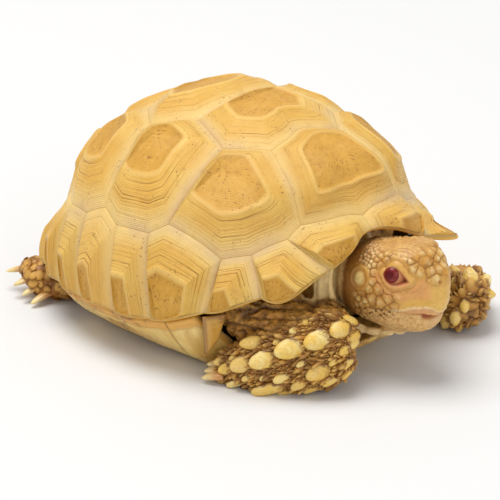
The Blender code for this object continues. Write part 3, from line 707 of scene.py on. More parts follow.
def neck_tube():
    end = head_point(1.5, 0, -0.5)
    rings = []
    for share in np.linspace(0, 1, 16):
        side = np.array((-1.0, 0, 0)) * (1 - share) + RIGHT * share
        radius = NECK_RADIUS - 1.0 * smooth(share, 0.5, 1.0)
        centre = NECK_START + (end - NECK_START) * share
        rings.append(oval(centre, side, UP, radius, radius * 0.95, 2.0))
    return flesh_tube("neck_flesh", rings)


def way_at(points, k):
    """Direction of a path at one of its points."""
    return unit(points[min(k + 1, len(points) - 1)] - points[max(k - 1, 0)])


def fold_tube(name, path, radius):
    """A roll of loose skin along a path given in the head's own frame."""
    points = spaced(np.array([head_point(*place) for place in path]), 24)
    rings = []
    for k, point in enumerate(points):
        along = way_at(points, k)
        side = unit(np.cross(along, UP))
        thick = radius * (0.35 + 0.65 * math.sin(math.pi * (k + 0.5) / len(points)) ** 0.5)
        rings.append(oval(point, side, np.cross(side, along), thick, thick, 2.0, 12))
    return flesh_tube(name, rings)


def trunk_tube():
    rings = []
    for radius in (0.10, 0.25, 0.4, 0.56, 0.7, 0.82, 0.92, 1.0):
        angles = np.radians(np.arange(36) * 10.0)
        points = dome(radius * np.stack((np.sin(angles), np.cos(angles)), -1))
        rings.append((points - (0, 0, 22)) * TRUNK_SCALE + (0, 0, 22))
    base = rings[-1] * (0.56, 0.8, 0)
    rings.append(base + (0, 0, TRUNK_FLOOR))
    return flesh_tube("trunk_flesh", rings)


def heading(degrees):
    """Level direction; 0 is straight out to the animal's right, 90 is backward."""
    a = math.radians(degrees)
    return np.array((-math.cos(a), math.sin(a), 0.0))


def forearm_axis(side, distance):
    """Point on the floor under the forearm's middle and its direction, at a distance from the elbow."""
    (x, y), forearm_turn, hand_turn = FORELEGS[side][:3]
    bend = float(smooth(distance, 8, 26)) * (hand_turn - forearm_turn)
    turned = heading(forearm_turn + bend)
    point = np.array((x, y, 0.0)) + heading(forearm_turn) * min(distance, 8.0)
    return point + turned * max(distance - 8.0, 0.0), turned


def forearm_frame(side, distance):
    """Middle, direction, way across, lean, half height and half thickness of the forearm."""
    half_up, half_side, clearance = interpolate(
        FOREARM_SECTIONS[:, 0], FOREARM_SECTIONS[:, 1:], np.array((distance,)))[0]
    tall, clear, lean = FORELEGS[side][3:6]
    point, turned = forearm_axis(side, distance)
    across = np.array((turned[1], -turned[0], 0.0))
    middle = point + UP * (half_up * tall + clearance * clear)
    return middle, turned, across, UP - across * lean, half_up * tall, half_side


def place(points, side):
    """Mirror points made for the right side over to the left."""
    return np.asarray(points) * ((1, 1, 1) if side == "right" else (-1, 1, 1))


def foreleg_tubes(side):
    rings = []
    for distance in np.linspace(*FOREARM_SECTIONS[[0, -1], 0], 32):
        middle, _, across, lean, half_up, half_side = forearm_frame(side, distance)
        ring = oval(middle, across, lean, half_side, half_up)
        ring[:, 2] = np.maximum(ring[:, 2], SKIN_CLEARANCE)
        rings.append(place(ring, side))
    forearm = flesh_tube(f"forearm_flesh_{side}", rings)
    shoulder, start_radius, end_radius = FORELEGS[side][6:]
    start = np.array(shoulder)
    end = np.array((*FORELEGS[side][0], 12.0 * FORELEGS[side][3]))
    arm = []
    for share in np.linspace(0, 1, 12):
        radius = start_radius + (end_radius - start_radius) * share
        ring = oval(start + (end - start) * share, (1, 0, 0), (0, 0.25, 1), radius, radius, 2.0)
        arm.append(place(ring, side))
    return [forearm, flesh_tube(f"upper_arm_flesh_{side}", arm)]


def hindleg_tube(side):
    across = np.array((0.62, 0.78, 0.0))
    table = np.array([(*centre, wide, high) for centre, wide, high in HINDLEG_STATIONS])
    rings = []
    for x, y, z, wide, high in spaced(table, 24):
        ring = oval((x, y, z), across, UP, wide, high)
        ring[:, 2] = np.maximum(ring[:, 2], SKIN_CLEARANCE)
        rings.append(place(ring, side))
    return flesh_tube(f"hindleg_flesh_{side}", rings)


def tail_tube():
    table = np.array([(*centre, radius) for centre, radius in TAIL_STATIONS])
    rows = spaced(table, 24)
    rings = []
    for k, row in enumerate(rows):
        along = way_at(rows[:, :3], k)
        across = np.array((along[1], -along[0], 0.0))
        rings.append(oval(row[:3], across, UP, row[3], row[3] * 0.9, 2.0, 24))
    return flesh_tube("tail_flesh", rings)


COLLAR_PATHS = (                # rolls of neck skin round the back of the head
    ((-2.2, 6.0, 8.0), (-2.4, 9.0, 4.0), (-2.2, 10.0, -1.0), (-0.5, 9.6, -6.0), (3.0, 8.0, -9.6),
     (8.0, 5.0, -11.3), (13.0, 1.0, -11.4)),
    ((-4.4, 8.0, 6.0), (-4.6, 10.4, 1.0), (-4.0, 10.6, -5.0), (-1.0, 8.6, -10.0), (4.0, 4.0, -12.2)))


def build_flesh(voxel):
    """Join the parts of the flesh and melt them into one skin; returns the object."""
    parts = [head_tube(), neck_tube(), trunk_tube(), tail_tube()]
    for number, path in enumerate(COLLAR_PATHS):
        parts.append(fold_tube(f"collar_{number}", path, 1.25))
        parts.append(fold_tube(f"collar_left_{number}", [(a, -o, u) for a, o, u in path], 1.25))
    for side in SIDES:
        parts += [*foreleg_tubes(side), hindleg_tube(side)]
    bpy.ops.object.select_all(action="DESELECT")
    for part in parts:
        part.select_set(True)
    bpy.context.view_layer.objects.active = parts[0]
    bpy.ops.object.join()
    skin = bpy.context.object
    skin.name = "skin"
    fix_normals(skin)
    apply_modifier(skin, "REMESH", mode="VOXEL", voxel_size=voxel * MM)
    apply_modifier(skin, "SMOOTH", factor=0.5, iterations=4)
    return skin


def apply_modifier(piece, kind, **settings):
    bpy.context.view_layer.objects.active = piece
    modifier = piece.modifiers.new(kind.title(), kind)
    for key, value in settings.items():
        setattr(modifier, key, value)
    bpy.ops.object.modifier_apply(modifier=modifier.name)


def mesh_points(piece):
    """The piece's points in millimetres."""
    points = np.empty(len(piece.data.vertices) * 3)
    piece.data.vertices.foreach_get("co", points)
    return points.reshape(-1, 3) / MM


def mesh_normals(piece):
    normals = np.empty(len(piece.data.vertices) * 3)
    piece.data.vertex_normals.foreach_get("vector", normals)
    return normals.reshape(-1, 3)


def head_local(points):
    """Points in the head's own frame: ahead, right, up."""
    away = points - HEAD_BACK
    return np.stack((away @ FORWARD, away @ RIGHT, away[:, 2]), -1)


def select_where(piece, chosen):
    """Enter edit mode with only the points of a mask selected."""
    bpy.context.view_layer.objects.active = piece
    bpy.ops.object.mode_set(mode="EDIT")
    bpy.ops.mesh.select_mode(type="VERT")
    bpy.ops.mesh.select_all(action="DESELECT")
    bpy.ops.object.mode_set(mode="OBJECT")
    piece.data.vertices.foreach_set("select", chosen)
    bpy.ops.object.mode_set(mode="EDIT")
    bpy.ops.mesh.select_mode(type="FACE")


def refine_skin(skin):
    """Coarsen the trunk where the shell hides it, and refine the head."""
    points = mesh_points(skin)
    y, z = points[:, 1], points[:, 2]
    hidden = ((y > -29) & (y < 31) & ((z > 25) | (z < 4.6))) | ((y > -13) & (y < 21))
    select_where(skin, hidden)
    bpy.ops.mesh.decimate(ratio=0.04)
    bpy.ops.object.mode_set(mode="OBJECT")
    local = head_local(mesh_points(skin))
    front = (local[:, 0] > -1.0) & (np.abs(local[:, 1]) < 11) & (np.abs(local[:, 2]) < 12.5)
    select_where(skin, front)
    bpy.ops.mesh.subdivide(number_cuts=1, smoothness=0.6)
    bpy.ops.object.mode_set(mode="OBJECT")


# ---- Sculpting the skin

EYE_REAR, EYE_FRONT = np.array((11.2, 5.1)), np.array((17.1, 4.1))     # corners: ahead, up
LID_RISE, LID_DROP = 1.85, 1.55
EAR_PLACE, EAR_SIZE = (5.1, 2.8), (1.5, 1.7)
NOSTRIL = (22.3, 2.3, 3.3)      # ahead, out, up
MOUTH_AHEAD = np.array((4.0, 6.5, 11.0, 12.6, 15.0, 17.2, 19.7, 20.8, 21.2, 23.0))
MOUTH_UP = np.array((-4.2, -3.9, -3.4, -3.3, -3.1, -3.4, -3.8, -4.8, -5.6, -6.0))
BEAK_EDGE_AHEAD = np.array((11.0, 14.4, 16.1, 17.3, 18.4, 20.3, 21.2, 21.6, 23.0))
BEAK_EDGE_UP = np.array((-3.1, -2.9, -2.6, -2.1, -1.8, -2.1, -2.8, -4.2, -4.7))
HEAD_SHIELDS = (                # the large shields of the head: ahead, out, up
    (19.2, 3.1, 8.0), (21.3, 1.3, 6.4), (18.4, 0.0, 9.3), (16.0, 4.6, 9.4), (19.0, 5.9, 5.8),
    (21.6, 3.2, 4.3), (14.2, 1.6, 10.0), (10.8, 0.0, 9.9), (10.3, 9.6, 1.5), (12.8, 9.4, -0.2),
    (8.6, 9.7, -1.3), (7.6, 9.5, 1.0), (15.4, 8.8, 0.8), (20.6, 3.4, 6.2), (10.9, 9.4, -1.7),
    (17.4, 6.9, 7.0))


SERRATION = 0.7                 # mm from tooth to tooth along the beak's edge
VEINS = (2.4, 51)               # size in mm and seed of the thin cracks between the beads
LID_FOLDS = ((0.32, 0.50, 0.40), (-0.20, 1.40, 0.24))   # height, distance from the opening, width
LOWER_LID_FOLDS = ((0.12, 2.05, 0.30), (-0.16, 2.55, 0.22), (0.10, 2.95, 0.25), (-0.10, 3.50, 0.22))
EAR_FOLDS = ((-0.16, 1.12, 0.18), (0.14, 1.50, 0.22), (-0.10, 1.85, 0.20))  # distance in ear sizes
SPECKLED = (                    # where dirt sits: strength, ahead, its spread, up, its spread
    (0.80, 5.0, 1.6, 7.0, 1.4), (0.60, 7.0, 1.5, -2.2, 1.2), (0.50, 15.5, 3.0, -8.2, 0.8),
    (0.45, 9.0, 3.0, -5.0, 1.8), (0.40, 19.5, 1.5, 7.0, 1.2), (1.10, 8.5, 3.6, -4.6, 0.9))


def lid_distance(local):
    """Millimetres outside the eye's opening, seen from the side, and height over its axis."""
    flat = local[:, [0, 2]] - EYE_REAR
    span = EYE_FRONT - EYE_REAR
    length = float(np.linalg.norm(span))
    way = span / length
    q, v = flat @ way, flat @ np.array((-way[1], way[0]))
    t = np.clip(q / length, 0, 1)
    over = LID_RISE * np.sin(math.pi * t**0.75) ** 0.85
    under = -LID_DROP * np.sin(math.pi * t**0.85) ** 0.85
    beyond = np.maximum(np.maximum(-q, q - length), 0)
    gap = np.maximum(v - over, under - v)
    outside = np.where(beyond > 0, np.hypot(np.maximum(gap, 0), beyond), gap)
    return outside, v


def folds(value, rows):
    """Ridges and furrows side by side; each row is a height, its place and its width."""
    return sum(height * bump(value, centre, width) for height, centre, width in rows)


def head_masks(local):
    """Named shares, 0 to 1, of the head's regions at points in its own frame."""
    ahead, out, up = local[:, 0], np.abs(local[:, 1]), local[:, 2]
    flank = smooth(out, 2.2, 4.2)
    lid, over = lid_distance(local)
    lid = np.where(flank > 0.02, lid, 9.0)
    ear = np.hypot((ahead - EAR_PLACE[0]) / EAR_SIZE[0], (up - EAR_PLACE[1]) / EAR_SIZE[1])
    ear = np.where(flank > 0.02, ear, 9.0)
    mouth = up - np.interp(ahead, MOUTH_AHEAD, MOUTH_UP)
    edge = up - np.interp(ahead, BEAK_EDGE_AHEAD, BEAK_EDGE_UP)
    beak = smooth(ahead, 14.0, 17.0) * smooth(mouth, -0.1, 0.3)
    sheath_top = np.interp(ahead, (13.0, 15.8, 19.4, 21.0, 23.0), (-0.4, 0.4, 4.8, 2.8, 2.0))
    beak *= 1 - smooth(up, sheath_top - 0.3, sheath_top + 0.3)
    wedge = smooth(ahead, 19.3, 20.2) * (1 - smooth(ahead, 21.3, 21.9)) * bump(mouth, -0.62, 0.58)
    jaw = smooth(-mouth, 0.0, 0.4) * smooth(ahead, 4.0, 8.0)
    hole = np.linalg.norm(np.stack((ahead - NOSTRIL[0], out - NOSTRIL[1], up - NOSTRIL[2]), -1), axis=1)
    return {"nostril": bump(hole, 0.0, 0.42), "flank": flank, "lid": lid, "over": over, "ear": ear,
            "mouth": mouth, "edge": edge, "beak": beak, "wedge": wedge, "jaw": jaw}


def cells(points, seeds):
    """Distance to the nearest seed, to the border of its cell, and the nearest seed's number."""
    first = np.full(len(points), 1e9)
    second = np.full(len(points), 1e9)
    owner = np.zeros(len(points), dtype=int)
    for number, seed in enumerate(seeds):
        away = np.linalg.norm(points - seed[:3], axis=1) / seed[3]
        nearer = away < first
        second = np.where(nearer, first, np.minimum(second, away))
        owner = np.where(nearer, number, owner)
        first = np.where(nearer, away, first)
    return first, second - first, owner


def head_seeds(local, rng):
    """Middles of the head's scales: the named shields, then smaller ones spread between them."""
    seeds = []
    for ahead, out, up in HEAD_SHIELDS:
        for side in ((1, -1) if out > 0.1 else (1,)):
            near = local[np.argmin(np.linalg.norm(local - (ahead, side * out, up), axis=1))]
            seeds.append((*near, 1.35 if ahead > 13 else 1.15))
    for k in rng.permutation(len(local)):
        ahead, out, up = local[k]
        brow = smooth(up, 5.0, 6.5) * (1 - smooth(ahead, 16.0, 17.5))
        crown = smooth(up, 8.0, 9.2) * (1 - smooth(ahead, 17.0, 18.5))
        rear = 1 - smooth(ahead, 6.0, 9.0)
        size = 1.75 - 0.70 * brow - 0.15 * crown - 0.40 * smooth(-up, 3.5, 6.0) - 0.45 * rear
        size *= 0.85 + 0.3 * rng.random()
        taken = np.array([s[:3] for s in seeds])
        room = np.where(np.arange(len(seeds)) < 2 * len(HEAD_SHIELDS) - 2, 1.25, 1.0)
        if ahead < 21.8 and np.all(np.linalg.norm(taken - local[k], axis=1) > size * room):
            seeds.append((ahead, out, up, 1.0))
        if len(seeds) > 620:
            break
    return np.array(seeds)


def sculpt_eye_and_ear(local, masks, worn):
    """How far the skin moves outwards round the eyes, the brows and the ears."""
    ahead, up = local[:, 0], local[:, 2]
    flank, lid, ear = masks["flank"], masks["lid"], masks["ear"]
    below = smooth(-masks["over"], 0.0, 0.8)
    move = np.zeros(len(local))
    move -= 1.9 * (1 - smooth(lid, -0.75, 0.02)) * flank
    move += flank * folds(lid, LID_FOLDS)
    move += flank * below * worn * folds(lid, LOWER_LID_FOLDS)
    move += 0.75 * flank * bump(ahead, 13.0, 4.0) * bump(up, 8.2, 1.3)
    move += 0.45 * flank * bump(ahead, 15.6, 3.5) * bump(up, 0.6, 1.0) * smooth(lid, 1.6, 2.6)
    move += flank * (0.34 * (1 - smooth(ear, 0.35, 1.0)) + folds(ear, EAR_FOLDS))
    return move


def sculpt_mouth(ahead, masks, lips, part):
    """How far the skin moves outwards along the mouth and the edge of the beak, and in the nostrils."""
    line, edge = masks["mouth"], masks["edge"]
    chin = smooth(-line, 0.1, 0.6) * smooth(ahead, 12.0, 16.0) * (1 - smooth(-line, 2.5, 5.0))
    serration = 0.7 + 0.3 * np.sin(2 * math.pi * ahead / SERRATION)
    move = -0.50 * lips * part * bump(line, 0.0, 0.22) - 0.30 * chin - 1.0 * masks["wedge"]
    move += 0.34 * smooth(ahead, 13.0, 15.5) * bump(edge, 0.0, 0.34) * serration
    move -= 0.16 * smooth(ahead, 14.5, 16.5) * bump(edge, -0.75, 0.4)
    return move - 0.7 * masks["nostril"]


def sculpt_head(local, masks, seeds):
    """How far each head point moves outwards, and how deep in a groove it lies."""
    ahead, up = local[:, 0], local[:, 2]
    flank, lid, ear = masks["flank"], masks["lid"], masks["ear"]
    worn = 0.6 + 0.4 * waves(local, 2.2, 36)
    lips = smooth(ahead, 6.0, 9.0)
    part = 0.35 + 0.65 * (bump(ahead, 8.5, 3.0) + bump(ahead, 20.6, 2.2))
    move = sculpt_eye_and_ear(local, masks, worn) + sculpt_mouth(ahead, masks, lips, part)
    away, border, owner = cells(local, seeds)
    crown = smooth(up, 8.1, 9.2) * (1 - smooth(np.abs(local[:, 1]), 5.2, 6.8))
    crown = crown * (1 - smooth(ahead, 16.0, 18.0))
    bare = np.maximum.reduce((
        0.85 * crown, 1 - smooth(lid, 1.7, 2.4), 1 - smooth(ear, 1.7, 2.0), masks["beak"],
        bump(masks["mouth"], 0.0, 0.5) * lips, smooth(ahead, 22.0, 22.6), 1 - smooth(ahead, 2.5, 5.0)))
    soft = 1 - 0.72 * masks["jaw"]
    groove = (1 - smooth(border, 0.03, 0.36)) * (1 - bare) * soft
    small = smooth(up, 4.5, 6.5) * (1 - smooth(ahead, 16.0, 18.0)) * smooth(lid, 1.6, 2.4)
    bead = (1 - smooth(away, 0.05, 0.95)) * (1 - bare)
    ridge = 0.5 + 0.5 * waves(local, 4.5, 38)
    move += (0.14 + 0.22 * small * (0.4 + 0.6 * ridge)) * bead * soft - 0.26 * groove
    move -= 0.10 * smooth(1 - np.abs(waves(local, *VEINS)), 0.84, 0.98) * (1 - bare)
    streaks = np.abs(np.sin(local[:, 1] * 2 * math.pi / 2.2 + 1.5 * waves(local, 4.0, 37)))
    wrinkle = crown * (1 - streaks) ** 2
    move -= 0.22 * wrinkle
    crease = 0.7 * lips * part * bump(masks["mouth"], 0.0, 0.26) + 0.4 * masks["nostril"]
    below = smooth(-masks["over"], 0.0, 0.8)
    crease += flank * (folds(lid, ((0.40, 1.45, 0.22), (0.22, 0.85, 0.14)))
                       + worn * below * folds(lid, ((0.22, 2.55, 0.22), (0.22, 3.5, 0.20))))
    crease += 0.14 * flank * bump(ear, 1.12, 0.22) + 0.8 * wrinkle
    return move, np.clip(np.maximum(groove, crease), 0, 1), owner, bead


LIMB_STEPS = np.linspace(-6, 26, 33)    # mm along a foreleg from its elbow


def limb_rows(along):
    """Which of the limb's steps is nearest to each distance along it."""
    return np.clip(np.round(along + 6).astype(int), 0, 32)


def limb_distance(points, side):
    """Distance from a foreleg's middle line, and how far along it from the elbow."""
    nearest, along = np.full(len(points), 1e9), np.zeros(len(points))
    for step in LIMB_STEPS:
        middle = place(forearm_frame(side, step)[0], side)
        away = np.linalg.norm(points - middle, axis=1)
        along = np.where(away < nearest, step, along)
        nearest = np.minimum(nearest, away)
    return nearest, along


def outer_face(points):
    """1 on the scaly outer face of the forelegs, 0 on their folded upper and inner side."""
    face = np.zeros(len(points))
    for side in SIDES:
        away, along = limb_distance(points, side)
        frames = [forearm_frame(side, step) for step in LIMB_STEPS]
        rows = limb_rows(along)
        middle = place(np.array([f[0] for f in frames]), side)[rows]
        across = place(np.array([f[2] for f in frames]), side)[rows]
        tall = np.array([f[4] for f in frames])[rows]
        wide = np.array([f[5] for f in frames])[rows]
        up = (points - middle)[:, 2] / tall
        out = -np.sum((points - middle) * across, axis=1) / wide
        end = 1 - smooth(along, -4.5, -1.0)
        limit = 0.30 + 0.42 * (1 - smooth(along, -1.0, 8.0))
        share = 1 - smooth(up - 0.55 * out - limit, 0.0, 0.22)
        share = np.maximum(share, end * (1 - smooth(up, 0.85, 1.1)))
        if side == "left":
            share = np.maximum(share, 1 - smooth(along, 0.0, 4.0))
        face = np.maximum(face, share * (away < 13))
    return face


def head_share(local):
    """1 on the head itself, falling to 0 on the neck and on the loose folds under the jaw."""
    half, top, bottom = (np.interp(local[:, 0], HEAD_SECTIONS[:, 0], column)
                         for column in HEAD_SECTIONS[:, 1:].T)
    across = np.abs(local[:, 1] / half)
    high = np.abs((local[:, 2] - (top + bottom) / 2) / ((top - bottom) / 2))
    away = (across**HEAD_POWER + high**HEAD_POWER) ** (1 / HEAD_POWER)
    away = np.where(local[:, 0] > 19.5, np.minimum(away, 1.0), away)
    near = (np.abs(local[:, 1]) < 13) & (np.abs(local[:, 2]) < 14)
    return smooth(local[:, 0], -1.0, 1.5) * (1 - smooth(away, 1.05, 1.11)) * near


def skin_regions(points, local):
    """Shares of head, forearm, upper arm, rear limbs and neck at each point of the skin."""
    head = head_share(local)
    arms = np.zeros(len(points))
    for side in SIDES:
        away, along = limb_distance(points, side)
        tall = FORELEGS[side][3]
        arms = np.maximum(arms, (1 - smooth(away, 9.6 * tall, 11.5 * tall)) * smooth(along, -6.5, -4.5))
    arms *= 1 - head
    front = (1 - smooth(points[:, 1], -26, -20)) * (1 - head) * (1 - arms)
    neck = front * (np.abs(local[:, 1]) < 13) * (local[:, 2] > -13.5)
    upper = front * (1 - neck)
    rear = smooth(points[:, 1], 22, 28) * (1 - smooth(points[:, 2], 12, 15))
    return {"head": head, "arms": arms, "upper": upper, "rear": rear, "neck": neck}


def colour_rows(hex_colour):
    return np.array(linear(hex_colour)[:3])


def blend_rows(paint, *layers):
    """Lay colours over rows of colours; a layer is its share at each row and its hex colour."""
    for share, hex_colour in layers:
        paint = paint + (colour_rows(hex_colour) - paint) * np.clip(share, 0, 1)[:, None]
    return paint


def paint_beads(local, masks, bead, tone, grime, patch):
    """The head's beads with painted highlights on their tops, grimy on the cheek and the crown, paler on
    the jaw, and painted shade at the back of the head.
    """
    ahead, up = local[:, 0], local[:, 2]
    cheek = bump(ahead, 8.5, 4.5) * bump(up, -1.0, 4.5)
    paint = np.tile(colour_rows("#c8903c"), (len(local), 1))
    return blend_rows(
        paint, (0.65 * tone, "#e0b25c"), (cheek * (0.30 + 0.55 * grime), "#a9702c"),
        (0.6 * smooth(up, 7.0, 9.0) * grime, "#a86c26"), (0.55 * patch * smooth(up, 3.0, 7.0), "#b57c2e"),
        # painted highlight: the middle of each bead is paler
        (bead * (0.30 + 0.50 * tone), "#f6dea0"),
        (smooth(masks["jaw"], 0.2, 0.9) * (0.85 - 0.3 * grime), "#dcb070"),
        # painted shade: the back of the head is darker, as in the shadow behind the ears
        (1 - smooth(ahead, 0.5, 7.5), "#8e5a22"))


def paint_beak(paint, local, masks):
    """The horny beak: peach, yellow toward its tip and edge, with a ragged pale cutting edge."""
    ahead, edge = local[:, 0], masks["edge"]
    lips = smooth(ahead, 12.5, 14.5)
    worn = 0.45 + 0.55 * smooth(waves(local, 0.7, 53), -0.25, 0.25)
    return blend_rows(
        paint, (masks["beak"], "#dfa05a"), (masks["beak"] * bump(edge, 1.0, 1.0) * 0.85, "#e0b24a"),
        (smooth(ahead, 20.2, 21.8) * masks["beak"] * 0.8, "#e4b858"),
        (lips * bump(edge, 0.0, 0.26) * worn, "#f4e2b4"),
        (lips * bump(edge, -1.0, 0.6) * smooth(masks["mouth"], 0, 0.3), "#d29c6c"))


def paint_lids_and_ears(paint, masks):
    """Golden skin round the eye, pink lid rims and the pale drum of the ear."""
    flank, lid = masks["flank"], masks["lid"]
    below = smooth(-masks["over"], -0.2, 0.8)
    return blend_rows(
        paint, (flank * (1 - smooth(lid, 1.3, 2.0)), "#d9a654"),
        (flank * below * (1 - smooth(lid, 2.8, 4.0)) * 0.65, "#d89a58"),
        (flank * (1 - smooth(lid, 0.0, 0.3)), "#bd7050"),
        (flank * (1 - smooth(masks["ear"], 0.55, 1.15)), "#e0c27a"))


def paint_dirt_and_shade(paint, local, masks):
    """Painted shade along the mouth line and in the nostrils, thin brown cracks, specks of dirt, and the
    mouth gap.
    """
    ahead, up, mouth = local[:, 0], local[:, 2], masks["mouth"]
    part = bump(ahead, 8.5, 3.0) + bump(ahead, 20.6, 2.2)
    veins = smooth(1 - np.abs(waves(local, *VEINS)), 0.88, 0.99) * (1 - masks["beak"])
    veins *= smooth(ahead, 1.0, 4.0) * smooth(masks["lid"], 0.6, 1.4)
    specks = bump(ahead, 12.4, 2.6) * bump(mouth, -0.3, 1.1)
    for strength, ahead_at, ahead_spread, up_at, up_spread in SPECKLED:
        specks += strength * bump(ahead, ahead_at, ahead_spread) * bump(up, up_at, up_spread)
    dirt = smooth(waves(local, 1.2, 31), 0.15, 0.45)
    return blend_rows(
        # painted shade: dark where the jaws part along the mouth line
        paint, (smooth(ahead, 7, 9) * part * bump(mouth, 0.0, 0.2) * 0.7, "#7a4320"),
        # painted shade: the nostril holes are darkened; the cracks and dirt specks on this line are the
        # skin's own marks
        (0.42 * veins, "#a05c20"), (specks * dirt, "#4a2c16"), (0.9 * masks["nostril"], "#a05a1c"),
        (masks["wedge"] * 1.3, "#a0452e"))


def paint_head(local, masks, owner, groove, bead, rng):
    """Colours of the head: golden beads with painted highlights on their tops, peach beak, pink lids,
    brown between the scales and painted shade in the creases.
    """
    ahead, up = local[:, 0], local[:, 2]
    tone = rng.uniform(0, 1, int(owner.max()) + 1)[owner]
    grime = smooth(waves(local, 3.2, 33), -0.1, 0.7)
    patch = smooth(waves(local, 6.0, 39), -0.2, 0.6)
    crown = smooth(up, 7.6, 9.2) * (1 - smooth(ahead, 15.0, 18.0))
    snout = smooth(ahead, 13.5, 17.0)
    paint = paint_beads(local, masks, bead, tone, grime, patch)
    paint = paint_lids_and_ears(paint_beak(paint, local, masks), masks)
    paint = blend_rows(paint, (0.45 * crown * (1 - 0.5 * patch), "#e4bc80"),
                       # dark brown in the grooves between the scales and in the creases: partly the
                       # skin's own colour, partly painted shade
                       (groove * (0.72 + 0.28 * grime) * (1 - 0.42 * snout), "#74380e"))
    return paint_dirt_and_shade(paint, local, masks)


def paint_skin(points, local, regions, groove):
    """Colours of the whole skin: a pale neck lifted with painted light, dark brown arms, brown between
    the scales, painted shade in the folds.
    """
    neck, arms = regions["neck"], regions["arms"]
    under = smooth(-local[:, 2], 3.0, 8.0)
    deep = smooth(waves(points, 4.0, 12), 0.0, 0.7)
    paint = np.tile(colour_rows("#a87844"), (len(points), 1))
    return blend_rows(
        # painted light: the neck is painted paler than its own colour, to lift the shade that it sits in
        paint, (neck, "#fadc98"), (neck * under, "#f8d894"),
        (neck * smooth(local[:, 0], -4.0, -1.0) * under, "#ecd096"), (regions["upper"], "#cf9844"),
        (arms, "#9a641e"), (arms * (1 - outer_face(points)), "#cc9240"), (regions["rear"], "#a86e26"),
        # painted shade: the folds and neck rings are darkened by their depth
        ((1 - neck) * (1 - regions["head"]) * deep * 0.5, "#6e441e"), (groove * 0.85, "#4e2e10"))


FOLD_SLANT = ((0.55, 0.2, 0.9), (0.55, -0.2, 0.9), (-0.5, 0.1, 1.2))     # how the folds hang
FOLD_DEPTH = 0.95
LARGE_FOLDS, SMALL_FOLDS = (6.0, 21), (2.4, 24)     # size in mm, seed
NECK_RING_GAP = 2.6


def sculpt_loose_skin(points, local, regions):
    """How far the skin beyond the head moves outwards, and how deep in a fold it lies."""
    loose = (1 - regions["head"]) * (1 - 0.75 * regions["neck"])
    slanted = points @ np.array(FOLD_SLANT)
    rolls = smooth(1 - np.abs(waves(slanted, *LARGE_FOLDS)), 0.62, 0.97)
    rolls = rolls + 0.55 * smooth(1 - np.abs(waves(slanted, *SMALL_FOLDS)), 0.66, 0.98)
    sheltered = 1 - outer_face(points)
    hanging = np.clip(regions["upper"] + 0.3 * regions["rear"] + sheltered * regions["arms"], 0, 1)
    rings = np.sin(local[:, 0] * 2 * math.pi / NECK_RING_GAP + 0.8 * waves(points, 9.0, 23))
    rings = regions["neck"] * (0.5 + 0.5 * rings) ** 3
    move = -FOLD_DEPTH * rolls * hanging + 0.18 * waves(points, 1.3, 22) * loose - 0.40 * rings
    return move, np.clip(np.maximum(rolls * hanging, 0.16 * rings), 0, 1)


def finish_skin(skin):
    """Sculpt the skin's folds, lids, lips and shields, and store its colours."""
    rng = np.random.default_rng(7)
    points, normals = mesh_points(skin), mesh_normals(skin)
    local = head_local(points)
    regions = skin_regions(points, local)
    chosen = np.flatnonzero(regions["head"] > 0)
    masks = head_masks(local[chosen])
    seeds = head_seeds(local[chosen], rng)
    head_move, groove, owner, bead = sculpt_head(local[chosen], masks, seeds)
    weight = regions["head"][chosen]
    move, depth = sculpt_loose_skin(points, local, regions)
    move[chosen] += head_move * weight
    depth[chosen] = np.maximum(depth[chosen], groove * weight)
    paint = paint_skin(points, local, regions, depth)
    head_paint = paint_head(local[chosen], masks, owner, groove, bead, rng)
    paint[chosen] += (head_paint - paint[chosen]) * weight[:, None]
    moved = points + normals * move[:, None]
    moved[:, 2] = np.maximum(moved[:, 2], 0.12)
    skin.data.vertices.foreach_set("co", (moved * MM).ravel())
    store_paint(skin.data, paint)
    skin.data.update()


def store_paint(mesh, paint):
    layer = mesh.attributes.new("paint", "FLOAT_COLOR", "POINT")
    rows = np.concatenate((paint, np.ones((len(paint), 1))), axis=1)
    layer.data.foreach_set("color", rows.astype(np.float32).ravel())


def skin_material(settings):
    """Living reptile skin: soft sheen, fine wrinkles, painted shade in its folds."""
    material, tree, shader, marks = new_material(
        "tortoise_skin", settings.roughness, 1.42, 0.45, (0.08, (1.0, 0.5, 0.25), 0.5), (),
        {"fine": (0.45, 4.0, 0.65), "broad": (2.6, 3.0, 0.55), "wrinkles": (0.28, 3.0, 0.6)})
    paint = add_node(tree, "Attribute", output="Color", attribute_name="paint")
    colour = lay_colours(tree, marks, paint, ("#94602a", 0.26, ("fine", 0.40, 0.75)),
                         ("#e8c27c", 0.12, ("broad", 0.35, 0.70)))
    finish_material(tree, shader, colour, (marks["wrinkles"], 0.10, 0.5))
    return material


class TortoiseSkinSettings(bpy.types.PropertyGroup):
    voxel: FloatProperty(name="Skin voxel", description="Voxels that melt the flesh into one, mm",
                         default=0.5, min=0.35, max=1.0)
    roughness: FloatProperty(name="Skin roughness", description="Roughness of the skin",
                             default=0.38, min=0.1, max=1.0, subtype="FACTOR")


class TORTOISE_OT_skin(bpy.types.Operator):
    """Model one skin over head, neck, trunk, legs and tail"""
    bl_idname = "tortoise.skin"
    bl_label = "Skin"

    def execute(self, context):
        settings = context.scene.tortoise_skin
        skin = build_flesh(settings.voxel)
        refine_skin(skin)
        finish_skin(skin)
        skin.data.materials.clear()
        skin.data.materials.append(skin_material(settings))
        skin.data.shade_smooth()
        flesh = [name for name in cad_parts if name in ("trunk", "neck", "head", "tail")
                 or name.startswith(("foreleg", "hindleg"))]
        register_piece(skin, flesh)
        return {"FINISHED"}


# ---- Eyes

GAZE = (0.0, 0.95, 0.26)       # the way the eye looks, in the head's frame
PUPIL_ANGLE, IRIS_ANGLE = 20.0, 44.0


